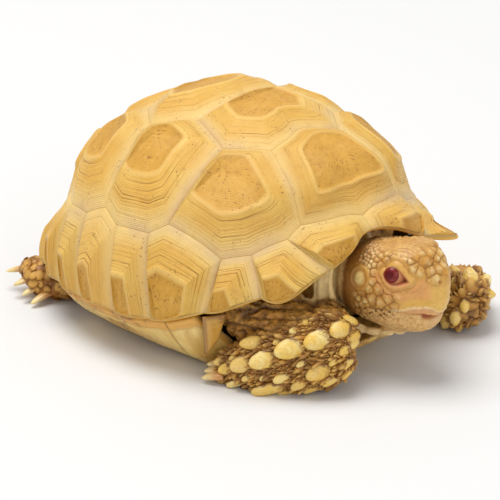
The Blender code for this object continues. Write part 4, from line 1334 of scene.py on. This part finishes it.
def eye_material(iris_colour):
    """Wet eyeball of an albino: dark red pupil, crimson iris, pink rim, clear glossy cornea."""
    material, tree, shader, marks = new_material("albino_eye", 0.24, 1.36, 0.3, None, ("turn",),
                                                 {"streaks": (0.35, 3.0, 0.6)})
    iris = lay_colours(tree, marks, iris_colour, ("#8c322a", 1.0, ("streaks", 0.35, 0.7)))
    colour = lay_colours(tree, marks, "#5a0c10",
                         (iris, 1.0, ("turn", PUPIL_ANGLE - 6, PUPIL_ANGLE + 7)),
                         ("#6a2422", 1.0, ("turn", IRIS_ANGLE - 5, IRIS_ANGLE + 1)),
                         ("#c88a5e", 1.0, ("turn", IRIS_ANGLE, IRIS_ANGLE + 6)))
    finish_material(tree, shader, colour)
    shader.inputs["Coat Weight"].default_value = 0.14
    shader.inputs["Coat Roughness"].default_value = 0.16
    return material


class TORTOISE_OT_eyes(bpy.types.Operator):
    """Model the two eyeballs with pupil, iris and a bulging cornea"""
    bl_idname = "tortoise.eyes"
    bl_label = "Eyes"

    def execute(self, context):
        material = eye_material(context.scene.tortoise_colours.iris)
        for side, sign in (("right", 1), ("left", -1)):
            centre = head_point(EYE_PLACE[0], sign * EYE_PLACE[1], EYE_PLACE[2])
            gaze = unit(FORWARD * GAZE[0] + RIGHT * sign * GAZE[1] + UP * GAZE[2])
            bpy.ops.object.select_all(action="DESELECT")
            bpy.ops.mesh.primitive_uv_sphere_add(segments=64, ring_count=40, radius=EYE_RADIUS * MM)
            ball = context.object
            ball.name = f"eyeball_{side}"
            turned = Matrix(Vector(gaze).to_track_quat("Z", "Y").to_matrix().to_4x4())
            ball.data.transform(Matrix.Translation(Vector(centre) * MM) @ turned)
            points = mesh_points(ball)
            away = (points - centre) / EYE_RADIUS
            turn = np.degrees(np.arccos(np.clip(away @ gaze, -1, 1)))
            cornea = 0.16 * (1 - smooth(turn, 20, IRIS_ANGLE + 4))
            points += away * (cornea - 0.12)[:, None]
            ball.data.vertices.foreach_set("co", (points * MM).ravel())
            store_number(ball.data, "turn", turn)
            ball.data.materials.append(material)
            ball.data.shade_smooth()
            register_piece(ball, [f"eye_{side}"])
        return {"FINISHED"}


# ---- Scales

FORELEG_SPURS = (               # along from the elbow, degrees up from the side, length, width
    (21.8, 0, 3.3, 3.0), (17.8, 5, 5.0, 4.4), (13.0, 7, 6.0, 4.7), (7.2, 16, 6.6, 5.2),
    (1.2, 22, 5.8, 5.0), (-3.4, 42, 4.6, 4.4), (15.8, 45, 5.2, 3.3), (-5.5, 80, 3.8, 3.1),
    (9.2, -22, 3.8, 2.8), (1.0, -20, 5.2, 4.5), (5.5, -40, 3.4, 3.1), (11.6, -48, 7.6, 4.4),
    (19.5, -46, 4.0, 2.6), (14.5, -72, 4.4, 3.0), (-4.4, 4, 2.7, 2.5), (-5.2, -22, 3.2, 2.3),
    (-1.5, -47, 3.6, 2.6), (2.8, -64, 3.6, 2.6), (8.5, -72, 4.0, 2.8), (-6.2, 50, 3.4, 3.0),
    (-6.6, 20, 3.0, 2.6), (-6.0, 120, 3.0, 2.6), (-4.0, 150, 2.8, 2.4), (23.8, 25, 2.4, 2.2),
    (24.0, -30, 2.4, 2.0), (-5.0, -60, 3.0, 2.4), (5.0, -4, 2.4, 2.0), (20.0, 22, 2.2, 1.9),
    (10.5, 30, 2.0, 1.8), (17.0, -22, 2.2, 1.9), (13.2, -20, 2.0, 1.7), (-2.0, -8, 2.2, 2.0),
    (7.0, 42, 2.0, 1.8), (4.2, 52, 1.9, 1.7))
ELBOW_SPURS = (                 # the same on the far elbow, whose end faces forward
    (0.4, 138, 5.6, 4.6), (-1.2, 90, 5.0, 4.2), (7.0, 168, 4.8, 4.4), (5.0, 114, 4.2, 2.6),
    (-6.0, -162, 3.6, 3.0), (-2.8, -138, 3.8, 3.4), (-6.3, 132, 2.8, 2.6), (2.0, 40, 4.4, 3.6),
    (-2.0, 25, 3.4, 3.0), (2.0, -10, 3.4, 3.0))


SCALE_SHAPES = {                # segments, rings, lean of the tip, lift of its edge, share of a cone
    "spur": (24, 18, 0.92, 0.10, 0.65), "grain": (7, 6, 0.95, 0.25, 1.0),
    "plate": (8, 6, 0.25, 0.10, 0.0)}
GRAIN_HORNS = {                 # dark and light grains, pale tips as painted highlight, gap colour as painted shade at the bases
    "leg_grain_keratin": ("#83541c", "#b67c2e", "#e6bc66", "#4e2c10"),
    "elbow_scale_keratin": ("#8a581e", "#bc8436", "#deb25e", "#4e2c10"),
    "hind_scale_keratin": ("#a26c26", "#c08a38", "#dbab56", "#94601e")}
SCALE_COATS = (                 # name, area, shape, horn, gap in mm, size in gaps, room that each keeps
    ("elbow_scales", "elbow", "spur", "elbow_scale_keratin", 2.3, (1.0, 0.9, 0.62), 1.15),
    ("foreleg_scales", "arm", "grain", "leg_grain_keratin", 1.2, (1.50, 0.74, 1.25), 0.62),
    ("foreleg_grains", "arm", "grain", "leg_grain_keratin", 0.56, (1.45, 0.70, 1.8), None),
    ("hindleg_scales", "hind", "plate", "hind_scale_keratin", 1.55, (1.35, 1.25, 0.26), None),
    ("tail_grains", "tail", "grain", "hind_scale_keratin", 0.9, (1.3, 1.0, 0.7), None))
SPUR_ROOM = 0.72                # share of its half size that a large scale keeps free of small ones


def dome_template(segments, rings, tip, lift, cone):
    """Half a ball, or a blunt cone, that leans toward +X: returns its points, growth and faces."""
    bpy.ops.object.select_all(action="DESELECT")
    bpy.ops.mesh.primitive_uv_sphere_add(segments=segments, ring_count=rings, radius=1.0)
    ball = bpy.context.object
    bpy.ops.object.mode_set(mode="EDIT")
    bpy.ops.mesh.select_all(action="SELECT")
    bpy.ops.mesh.bisect(plane_co=(0, 0, -0.05), plane_no=(0, 0, 1), clear_inner=True, use_fill=True)
    bpy.ops.object.mode_set(mode="OBJECT")
    fix_normals(ball)
    points = np.array([v.co[:] for v in ball.data.vertices])
    faces = [tuple(f.vertices) for f in ball.data.polygons]
    growth = np.arccos(np.clip(points[:, 2], 0, 1)) / (math.pi / 2)
    reach = np.hypot(points[:, 0], points[:, 1])
    blunt = 0.75 * (1 - reach**1.5) + 0.25 * np.clip(points[:, 2], 0, 1)
    points[:, 2] += np.where(points[:, 2] > 0, cone * (blunt - points[:, 2]), 0.0)
    top = np.clip(points[:, 2], 0, 1)
    points[:, 0] += tip * top + lift * np.clip(points[:, 0], 0, 1) ** 2
    bpy.data.objects.remove(ball, do_unlink=True)
    return points, growth, faces


def unwrap_place(points):
    """Where points lie on the unwrapped skin: one strip for each part of the body."""
    local = head_local(points)
    u = (np.degrees(np.arctan2(points[:, 0], points[:, 2] - 12.0)) + 180.0) / 360.0
    v = (points[:, 1] + 70.0) / 125.0
    head = (local[:, 0] > -3) & (np.abs(local[:, 1]) < 12)
    around = (np.degrees(np.arctan2(local[:, 1], local[:, 2])) + 180.0) / 360.0
    strip_u, strip_v = 0.02 + 0.46 * u, 0.02 + 0.46 * v
    strip_u = np.where(head, 0.52 + 0.46 * around, strip_u)
    strip_v = np.where(head, 0.02 + 0.46 * (local[:, 0] + 3) / 30, strip_v)
    for number, side in enumerate(SIDES):
        away, along = limb_distance(points, side)
        middle = np.array([place(forearm_axis(side, s)[0], side) for s in (0.0, 20.0)]).mean(axis=0)
        spin = (np.degrees(np.arctan2(points[:, 2] - 8, (points - middle)[:, 0])) + 180.0) / 360.0
        near = (away < 14) & ~head
        strip_u = np.where(near, 0.02 + 0.5 * number + 0.46 * spin, strip_u)
        strip_v = np.where(near, 0.52 + 0.46 * (along + 8) / 36, strip_v)
    return np.stack((strip_u, strip_v), -1)


def lay_scales(name, template, roots, normals, ways, sizes, tones, material):
    """Join copies of a template, each laid on its root along its way; sizes go along, across, up."""
    shape, growth, faces = template
    count = len(shape)
    ways = ways - normals * np.sum(ways * normals, axis=1, keepdims=True)
    ways /= np.maximum(np.linalg.norm(ways, axis=1, keepdims=True), 1e-9)
    sides = np.cross(normals, ways)
    scaled = shape[None] * sizes[:, None, :]
    verts = (roots[:, None] + scaled[..., :1] * ways[:, None] + scaled[..., 1:2] * sides[:, None]
             + scaled[..., 2:] * normals[:, None]).reshape(-1, 3)
    verts[:, 2] = np.maximum(verts[:, 2], 0.05)
    all_faces = [tuple(v + k * count for v in face) for k in range(len(roots)) for face in faces]
    numbers = {"tone": np.repeat(tones, count), "top": np.tile(np.clip(shape[:, 2], 0, 1), len(roots)),
               "lay": np.tile(growth, len(roots))}
    piece = put_mesh(name, verts, all_faces, material, numbers)
    layer = piece.data.uv_layers.new(name="OFBake")
    corners = np.empty(len(piece.data.loops), dtype=np.int32)
    piece.data.loops.foreach_get("vertex_index", corners)
    patch = unwrap_place(roots)[corners // count] + 0.0013 * shape[corners % count, :2]
    layer.data.foreach_set("uv", patch.astype(np.float32).ravel())
    return piece


def spread_roots(points, spacing, rng):
    """Pick points at least their own spacing apart, in a seeded random order."""
    cell = float(spacing.max())
    grid, chosen = {}, []
    for k in rng.permutation(len(points)):
        key = tuple((points[k] // cell).astype(int))
        near = [j for dx in (-1, 0, 1) for dy in (-1, 0, 1) for dz in (-1, 0, 1)
                for j in grid.get((key[0] + dx, key[1] + dy, key[2] + dz), ())]
        if near and np.min(np.sum((points[near] - points[k]) ** 2, axis=1)) < spacing[k] ** 2:
            continue
        grid.setdefault(key, []).append(k)
        chosen.append(k)
    return np.array(chosen)


def scale_horn(base_colour):
    """Keratin of the large leg scales, cone-shaped: waxy yellow, growth lines, brown at the root."""
    material, tree, shader, marks = new_material(
        "leg_scale_keratin", 0.34, 1.54, 0.4, (0.10, (1.0, 0.6, 0.25), 0.5), ("lay", "tone"),
        {"blotch": (1.6, 3.0, 0.55), "rough": (0.8, 3.0, 0.55), "dirt": (0.35, 2.0, 0.55)})
    steps = add_node(tree, "CombineXYZ", {"X": marks["lay"]})
    marks["lines"] = add_node(tree, "TexWave", {"Vector": steps, "Scale": 1.9, "Distortion": 3.0,
                                                "Detail": 3.0}, "Fac")
    drift = add_node(tree, "MapRange", {0: marks["rough"], 1: 0.3, 2: 0.7, 3: -0.12, 4: 0.12},
                     interpolation_type="SMOOTHSTEP")
    marks["ragged"] = add_node(tree, "Math", {0: marks["lay"], 1: drift}, operation="ADD")
    colour = lay_colours(
        tree, marks, base_colour, ("#f9e49a", 1.0, ("blotch", 0.35, 0.7)),
        ("#e0b04e", 0.5, ("tone", 0.0, 1.0)), ("#c8943e", 0.22, ("lines",)),
        ("#7c4c16", 1.0, ("ragged", 0.58, 0.88)), ("#9a6a34", 0.4, ("dirt", 0.62, 0.74)))
    finish_material(tree, shader, colour, (marks["lines"], 0.06, 0.5), (marks["rough"], 0.10, 0.5))
    return material


def grain_horn(name, dark, light, tip, gap):
    """Keratin of the small rough scales: tan grains with painted highlights on their tips, brown
    blotches, painted shade toward their bases.
    """
    material, tree, shader, marks = new_material(
        name, 0.5, 1.5, 0.35, None, ("tone", "top", "lay"),
        {"blotch": (1.8, 3.0, 0.55), "rough": (0.2, 2.0, 0.55)})
    colour = lay_colours(
        # painted highlight: the top of each grain is paler; painted shade: its lower part takes the dark
        # gap colour
        tree, marks, dark, (light, 1.0, ("tone",)), (tip, 0.75, ("top", 0.40, 1.0)),
        ("#6a3e18", 0.62, ("blotch", 0.46, 0.62)), (gap, 0.75, ("lay", 0.55, 0.92)))
    finish_material(tree, shader, colour, (marks["rough"], 0.06, 0.5))
    return material


def limb_ways(points):
    """The way scales lie: toward the foot of each limb and a little down."""
    ways = np.tile(np.array((0.0, 0.6, -0.6)), (len(points), 1))
    for side in SIDES:
        away, along = limb_distance(points, side)
        near = away < 15
        turned = np.array([place(forearm_axis(side, s)[1], side) for s in LIMB_STEPS])
        rows = turned[limb_rows(along)]
        ways[near] = (rows + (0, 0, -0.35))[near]
    return ways


def spur_roots(side):
    """Roots, normals, ways and sizes of the large scales of one foreleg, on its sections."""
    roots, normals, ways, sizes = [], [], [], []
    spurs = FORELEG_SPURS if side == "right" else FORELEG_SPURS[:4] + ELBOW_SPURS
    for along, degrees, length, width in spurs:
        middle, turned, across, lean, half_up, half_side = forearm_frame(side, max(along, -6.0))
        a = math.radians(degrees)
        c, s = (signed_power(part, 2 / LIMB_POWER) for part in (math.cos(a), math.sin(a)))
        root = middle - across * c * half_side + lean * s * half_up
        normal = unit(-across * math.cos(a) / half_side + UP * math.sin(a) / half_up)
        facing = float(np.clip((1.5 - along) / 8.0, 0, 1)) * (0.9 if side == "left" else 0.35)
        normal = unit(normal * (1 - facing) - turned * facing)
        if along < -6.0:
            root = middle + (root - middle) * 0.62 - turned * 0.3
        roots.append(place(root - normal * 0.35, side))
        normals.append(place(normal, side))
        ways.append(place(turned * (1 - facing) + UP * (-0.30 - 0.5 * facing), side))
        sizes.append((0.53 * length, width / 2, 0.31 * width + 0.6))
    return [np.array(rows) for rows in (roots, normals, ways, sizes)]


def spread_scales(name, points, normals, some, gap, shape, template, material, rng):
    """Scatter scales a gap apart over some of the skin's points, larger in patches."""
    patch = 1 + 0.45 * smooth(waves(points[some], 3.5, 41), 0.2, 0.6)
    picked = spread_roots(points[some], gap * patch, rng)
    some, patch = some[picked], patch[picked]
    size = gap * 0.62 * patch * rng.uniform(0.8, 1.2, len(some))
    sizes = size[:, None] * np.array(shape) * rng.uniform(0.85, 1.15, (len(some), 3))
    ways = limb_ways(points[some]) + rng.normal(0, 0.32, (len(some), 3))
    lay_scales(name, template, points[some] - normals[some] * 0.08, normals[some], ways, sizes,
               rng.uniform(0, 1, len(some)), material)
    return some


def scale_areas(points):
    """Which of the skin's points each coat of scales may stand on."""
    regions = skin_regions(points, head_local(points))
    out, back = np.abs(points[:, 0]), points[:, 1]
    arm = (outer_face(points) > 0.5) & (regions["arms"] > 0.6) & (out > 9)
    rear = regions["rear"] > 0.6
    return {"arm": arm, "elbow": arm & (points[:, 0] > 0) & (back < -36),
            "hind": rear & (back > 27) & (out > 14), "tail": rear & (back > 33) & (out < 14)}


class TORTOISE_OT_scales(bpy.types.Operator):
    """Lay the large conical scales and the small grains over the legs and tail"""
    bl_idname = "tortoise.scales"
    bl_label = "Scales"

    def execute(self, context):
        rng = np.random.default_rng(19)
        skin = bpy.data.objects["skin"]
        points, normals = mesh_points(skin), mesh_normals(skin)
        areas = scale_areas(points)
        shapes = {name: dome_template(*numbers) for name, numbers in SCALE_SHAPES.items()}
        horn = scale_horn(context.scene.tortoise_colours.leg_scales)
        horns = {name: grain_horn(name, *colours) for name, colours in GRAIN_HORNS.items()}
        free = points[:, 2] > 0.4
        for side in SIDES:
            roots, ups, ways, sizes = spur_roots(side)
            tones = rng.uniform(0, 1, len(roots))
            lay_scales(f"spurs_{side}", shapes["spur"], roots, ups, ways, sizes, tones, horn)
            for root, size in zip(roots, sizes):
                free &= np.linalg.norm(points - root, axis=1) > SPUR_ROOM * max(size[0], size[1])
        for name, area, shape, keratin, gap, size, room in SCALE_COATS:
            some = np.flatnonzero(free & areas[area])
            picked = spread_scales(name, points, normals, some, gap, size, shapes[shape],
                                   horns[keratin], rng)
            for root in points[picked] if room else ():
                free &= np.linalg.norm(points - root, axis=1) > room
        return {"FINISHED"}


# ---- Claws

FORE_CLAW_SPREAD = 3.2          # mm from the middle claw to the outer ones
FORE_CLAW_SIZE = (5.2, 1.45)    # length, radius
HIND_CLAW_ROOTS = ((-31.9, 40.6, 6.0), (-32.2, 31.9, 2.6))     # rear and front claw
HIND_CLAW_HEADINGS = (58, 18, 8, 2)
HIND_CLAW_DROP = -0.16
HIND_CLAW_SIZE = (6.0, 1.18)

def claw_material(tip_colour):
    """Ivory claw keratin: pale, a little see-through, yellower at the root."""
    material, tree, shader, marks = new_material(
        "ivory_claw", 0.30, 1.54, 0.5, (0.15, (1.0, 0.6, 0.3), 0.8), ("along",),
        {"stain": (0.8, 3.0, 0.55)})
    colour = lay_colours(tree, marks, "#cc9456", (tip_colour, 1.0, ("along", 0.15, 0.9)),
                         ("#a87a44", 0.35, ("stain", 0.5, 0.7)))
    finish_material(tree, shader, colour)
    return material


def claw_shape(root, way, length, radius, rows=12, count=14):
    """Rings of one claw: a blunt wedge, curved down, flatter underneath."""
    way = unit(np.asarray(way, dtype=float))
    side = unit(np.cross(way, UP))
    rings = []
    for share in np.linspace(0, 1, rows):
        thick = radius * (1 - share**2.6) ** 0.65 + 0.06
        centre = np.asarray(root) + way * length * share - UP * 0.6 * share**2
        ring = oval(centre, side, np.cross(side, way), thick, thick * 0.62, 2.2, count)
        ring[:, 2] = np.maximum(ring[:, 2], 0.08)
        rings.append(ring)
    return rings


def lay_claws(name, claws, material):
    verts, faces, along = [], [], []
    for root, way, length, radius in claws:
        rings = claw_shape(root, way, length, radius)
        start, count = len(verts), len(rings[0])
        faces += [tuple(v + start for v in face) for face in plate_faces(len(rings), count)]
        verts += list(closed(rings))
        along += [0.0, *np.repeat(np.linspace(0, 1, len(rings)), count), 1.0]
    piece = put_mesh(name, np.array(verts), faces, material, {"along": along})
    fix_normals(piece)


def fore_claws(side):
    """Root, way, length and radius of the five claws of a forefoot, fanned over the hand's end."""
    spot, turned = forearm_axis(side, FOREARM_SECTIONS[-1, 0])
    across = np.array((turned[1], -turned[0], 0.0))
    claws = []
    for spread in np.linspace(-1, 1, 5):
        root = spot + across * spread * FORE_CLAW_SPREAD - turned * 1.6
        root[2] = 2.2 + 1.6 * (1 - abs(spread))
        way = turned + across * spread * 0.14 - UP * 0.06
        claws.append((place(root, side), place(way, side), *FORE_CLAW_SIZE))
    return claws


def hind_claws(side):
    """The same for the four claws of a hind foot."""
    first, last = np.array(HIND_CLAW_ROOTS)
    claws = []
    for k, degrees in enumerate(HIND_CLAW_HEADINGS):
        root = first + (last - first) * k / 3
        way = heading(degrees) + UP * HIND_CLAW_DROP
        claws.append((place(root, side), place(way, side), *HIND_CLAW_SIZE))
    return claws


class TORTOISE_OT_claws(bpy.types.Operator):
    """Model five claws on each forefoot and four on each hind foot"""
    bl_idname = "tortoise.claws"
    bl_label = "Claws"

    def execute(self, context):
        material = claw_material(context.scene.tortoise_colours.claws)
        for side in SIDES:
            lay_claws(f"foreclaws_{side}", fore_claws(side), material)
            lay_claws(f"hindclaws_{side}", hind_claws(side), material)
        return {"FINISHED"}


# ---- Plastron

BELLY_HALF_WIDTH = 25.0
PLATE_THICKNESS = 1.6
PLASTRON_STATIONS = (-47.0, -39.0, -27.0, -18.0, 12.0, 27.0, 40.0)
PLASTRON_NAMES = ("gular", "humeral", "pectoral", "abdominal", "femoral", "anal")
BRIDGE_START, BRIDGE_END = -22.5, 19.0
BRIDGE_LEAN = 3.7               # the wing's front edge leans forward this far by the rim
BRIDGE_EASE = 3.0
WING_POWER = 1.9                # how late the wings turn up
GULAR_RISE = 6.5                # the front lobe turns up this far toward the neck
GULAR_BEND = (25.0, 48.0)       # between these distances ahead of the middle


def rim_line():
    """Points of the right-hand rim from front to rear."""
    angles = np.radians(np.arange(10.0, 160.5, 0.5))
    return dome(np.stack((np.sin(angles), np.cos(angles)), -1))


def plastron_section(y, share, rim):
    """Half width and edge height of the plastron at a given y, for shares of the way up the wing."""
    start = BRIDGE_START - BRIDGE_LEAN * share**2
    if y < 0:
        lobe = 8.0 + 12.5 * smooth(y, -47, -30)
        bridge = smooth(y, start - BRIDGE_EASE / 2, start + BRIDGE_EASE / 2)
    else:
        lobe = 22.0 - 12.0 * smooth(y, 12, 30)
        bridge = 1 - smooth(y, BRIDGE_END - BRIDGE_EASE / 2, BRIDGE_END + BRIDGE_EASE / 2)
    at = np.minimum(np.maximum(y, start), BRIDGE_END)
    near = rim[np.argmin(np.abs(rim[:, 1][None] - at[:, None]), axis=1)]
    edge = 0.3 + GULAR_RISE * smooth(-y, *GULAR_BEND)
    return lobe + (-near[:, 0] - 0.45 - lobe) * bridge, edge + (near[:, 2] - 0.35 - edge) * bridge


def plastron_row(y, rim, lift, columns):
    """Points across the plastron at y; columns run from -1, the right edge, to 1."""
    out = np.abs(columns)
    share = np.clip((out - 0.55) / 0.45, 0, 1)
    width, height = plastron_section(y, share, rim)
    flat = np.minimum(BELLY_HALF_WIDTH, width * 0.78)
    rise = GULAR_RISE * float(smooth(-y, *GULAR_BEND))
    climb = np.maximum(height - rise, 0.0)
    slope = np.arctan(WING_POWER * climb / (width - flat) * share ** (WING_POWER - 1))
    x = np.where(share > 0, flat + (width - flat) * share, flat * out / 0.55) - lift * np.sin(slope)
    z = rise + climb * share**WING_POWER + lift * np.cos(slope)
    return np.stack((np.sign(columns) * x, np.full(len(columns), y), z), -1)


def plastron_row_marks(plain, y, start, end, seed, columns):
    """How deep each point of a row lies in its plate, and its growth, groove and edge strip."""
    side = np.abs(plain[:, 0])
    run = np.concatenate(([0.0], np.cumsum(np.linalg.norm(np.diff(plain, axis=0), axis=1))))
    edge = np.minimum(run, run[-1] - run)
    border = np.minimum.reduce((np.full(len(side), min(y - start, end - y)), side, edge + 0.8))
    t = 1 - np.clip(border / min((end - start) / 2, 8.0), 0, 1)
    groove = ring_groove(t * 0.9, columns * 2 + y * 0.1, 7, np.random.default_rng(seed))
    seam = bump(np.minimum(border, side), 0, 0.25)
    wing = smooth(plain[:, 2], 4, 7)
    meeting = 0.7 * bump(edge, 2.6, 0.3) * wing
    depth = 0.30 * np.maximum(seam, meeting) + 0.20 * groove * (t > 0)
    marks = {"growth": t, "groove": np.maximum.reduce((groove * 0.7, seam, meeting)),
             "strip": (1 - smooth(edge, 2.2, 2.8)) * wing}
    return depth, marks


def plastron_plate(name, start, end, rim, material, seed):
    """A pair of plates: growth grooves drawn in from their edges, a seam down the middle."""
    half = np.concatenate((np.linspace(0, 0.55, 45), np.linspace(0.55, 1, 60)[1:]))
    columns = np.concatenate((-half[::-1], half[1:]))
    rings, inside = [], {"growth": 1.0, "groove": 0.0, "strip": 0.0}
    numbers = {key: [[value]] for key, value in inside.items()}
    for y in np.linspace(start + 0.04, end - 0.04, max(14, round((end - start) / 0.42))):
        plain = plastron_row(y, rim, 0.0, columns)
        depth, marks = plastron_row_marks(plain, y, start, end, seed, columns)
        lower = plain + (plastron_row(y, rim, 1.0, columns) - plain) * depth[:, None]
        rings.append(np.concatenate((lower, plastron_row(y, rim, PLATE_THICKNESS, columns)[::-1])))
        for key, value in inside.items():
            numbers[key] += [marks[key], np.full(len(columns), value)]
    for key, value in inside.items():
        numbers[key] = np.concatenate((*numbers[key], [value]))
    piece = put_mesh("plastron_plate_" + name, closed(rings), plate_faces(len(rings), len(rings[0])),
                     material, numbers, ["plastron_" + name])
    fix_normals(piece)


AXILLARY_CORNERS = np.array(    # outer and inner top, inner and outer foot
    ((-35.2, -28.0, 17.0), (-29.8, -29.6, 16.8), (-31.0, -28.0, 9.8), (-33.6, -26.9, 6.8)))
AXILLARY_ROWS = (               # share of the way to the edge, how far the face stands forward
    (0.3, 0.28), (0.55, 0.26), (0.75, 0.18), (0.88, 0.05), (0.96, -0.15), (1.0, -0.45), (0.97, -0.9),
    (0.5, -1.0))


def axillary_plate(side, material):
    """The small soft-edged plate in front of one bridge, behind the foreleg."""
    corners = place(AXILLARY_CORNERS, side)
    steps = np.linspace(0, 1, 12, endpoint=False)[:, None]
    ends = np.roll(corners, -1, axis=0)
    outline = np.concatenate([a + (b - a) * steps for a, b in zip(corners, ends)])
    centre = outline.mean(axis=0)
    rings = [centre + (outline - centre) * share - (0, forward, 0) for share, forward in AXILLARY_ROWS]
    verts = np.concatenate(((centre - (0, 0.3, 0))[None], *rings, (centre + (0, 1.0, 0))[None]))
    shares = np.array((0.0, *np.repeat([row[0] for row in AXILLARY_ROWS], len(outline)), 0.0))
    numbers = {"growth": shares, "groove": 0.30 + 1.2 * smooth(shares, 0.66, 0.95),
               "strip": 1 - 0.5 * shares}
    piece = put_mesh("axillary_plate_" + side, verts, plate_faces(len(rings), len(outline)), material,
                     numbers, ["axillary_" + side])
    fix_normals(piece)


def plastron_horn(base_colour):
    """Keratin of the plastron: golden straw, satin, with brown scuffs low down."""
    material, tree, shader, marks = new_material(
        "straw_plastron_keratin", 0.40, 1.54, 0.5, (0.06, (1.0, 0.6, 0.3), 0.6),
        ("growth", "groove", "strip"),
        {"blotch": (4.0, 4.0, 0.55), "smudge": (1.3, 4.0, 0.7), "patch": (7.0, 2.0, 0.55),
         "grain": (0.5, 3.0, 0.55)})
    colour = lay_colours(
        tree, marks, base_colour, ("#ecce80", 1.0, ("blotch", 0.35, 0.7)),
        ("#c4974a", 0.5, ("growth", 0.35, 0.0)), ("#dda03a", 0.85, ("strip",)),
        ("#8c6030", 0.75, ("smudge", 0.48, 0.64), ("patch", 0.40, 0.56)),
        ("#90622c", 0.55, ("groove",)))
    finish_material(tree, shader, colour, (marks["grain"], 0.06, 0.4))
    return material


class TORTOISE_OT_plastron(bpy.types.Operator):
    """Model the six pairs of belly plates with their bridges up to the rim"""
    bl_idname = "tortoise.plastron"
    bl_label = "Plastron plates"

    def execute(self, context):
        rim = rim_line()
        material = plastron_horn(context.scene.tortoise_colours.plastron)
        ends = zip(PLASTRON_NAMES, PLASTRON_STATIONS, PLASTRON_STATIONS[1:])
        for seed, (name, start, end) in enumerate(ends):
            plastron_plate(name, start, end, rim, material, seed + 50)
        for side in SIDES:
            axillary_plate(side, material)
        return {"FINISHED"}


# ---- Stage


class TortoiseStageSettings(bpy.types.PropertyGroup):
    key_power: FloatProperty(name="Key light", description="Power of the large light overhead",
                             default=10.1, unit="POWER")
    surround: FloatProperty(name="Surround", description="Strength of the white studio all round",
                            default=0.59, min=0.0)


def look_at(item, target):
    way = Vector(target) - item.location
    item.rotation_euler = way.to_track_quat("-Z", "Y").to_euler()


CAMERA_PLACE = (-0.39206, -0.43562, 0.26562)
CAMERA_TARGET = (-0.00357, -0.00834, 0.01811)
CAMERA_FIELD = math.radians(10.718)
LAMPS = (                       # name, place in metres, size, share of the key light's power
    ("overhead_softbox", (-0.12, 0.20, 1.1), 0.8, 1.0), ("front_fill", (-0.30, -1.05, 0.45), 0.7, 0.18))
LAMP_COLOUR = (1.0, 0.99, 0.97)
LAMP_TARGET = (0, 0, 0.02)


def soft_light(name, spot, size, power):
    """Hang a round soft light over the tortoise, turned toward it."""
    bpy.ops.object.light_add(type="AREA", location=spot)
    lamp = bpy.context.object
    lamp.name = name
    lamp.data.shape = "DISK"
    lamp.data.size = size
    lamp.data.energy = power
    lamp.data.color = LAMP_COLOUR
    look_at(lamp, LAMP_TARGET)


class TORTOISE_OT_stage(bpy.types.Operator):
    """Lay the pale floor, hang the soft lights and place the camera"""
    bl_idname = "tortoise.stage"
    bl_label = "Stage"

    def execute(self, context):
        settings = context.scene.tortoise_stage
        bpy.ops.mesh.primitive_plane_add(size=6.0, location=(0, 0, 0))
        floor = context.object
        floor.name = "studio_floor"
        paper, _, shader, _ = new_material("matt_white_paper", 0.9, specular=0.1)    # shows no gloss
        shader.inputs["Base Color"].default_value = context.scene.tortoise_colours.floor
        floor.data.materials.append(paper)
        for name, spot, size, share in LAMPS:
            soft_light(name, spot, size, settings.key_power * share)
        world = bpy.data.worlds.new("studio_white")
        world.use_nodes = True
        backdrop = world.node_tree.nodes["Background"]
        backdrop.inputs["Color"].default_value = (1.0, 1.0, 1.0, 1.0)
        backdrop.inputs["Strength"].default_value = settings.surround
        context.scene.world = world
        context.scene.view_settings.view_transform = "Standard"
        bpy.ops.object.camera_add(location=CAMERA_PLACE)
        camera = context.object
        camera.data.sensor_fit = "HORIZONTAL"
        camera.data.angle = CAMERA_FIELD
        camera.data.clip_start = 0.01
        look_at(camera, CAMERA_TARGET)
        context.scene.camera = camera
        return {"FINISHED"}


class VIEW3D_PT_tortoise(bpy.types.Panel):
    """Lists the steps that build the tortoise's looks"""
    bl_label = "Tortoise"
    bl_idname = "VIEW3D_PT_tortoise"
    bl_space_type = "VIEW_3D"
    bl_region_type = "UI"
    bl_category = "Tortoise"

    def draw(self, context):
        for step in STEPS:
            self.layout.operator(step.bl_idname)


STEPS = (TORTOISE_OT_stage, TORTOISE_OT_carapace, TORTOISE_OT_plastron, TORTOISE_OT_skin,
         TORTOISE_OT_eyes, TORTOISE_OT_scales, TORTOISE_OT_claws)
GROUPS = {"tortoise_shell": TortoiseShellSettings, "tortoise_skin": TortoiseSkinSettings,
          "tortoise_stage": TortoiseStageSettings, "tortoise_colours": TortoiseColours}
CLASSES = (*GROUPS.values(), *STEPS, VIEW3D_PT_tortoise)


def register():
    for item in CLASSES:
        bpy.utils.register_class(item)
    for name, group in GROUPS.items():
        setattr(bpy.types.Scene, name, PointerProperty(type=group))


def unregister():
    for name in GROUPS:
        delattr(bpy.types.Scene, name)
    for item in reversed(CLASSES):
        bpy.utils.unregister_class(item)


def main():
    register()
    for step in STEPS:
        group, name = step.bl_idname.split(".")
        bpy.ops.object.select_all(action="DESELECT")
        getattr(getattr(bpy.ops, group), name)()


if __name__ == "__main__":
    main()
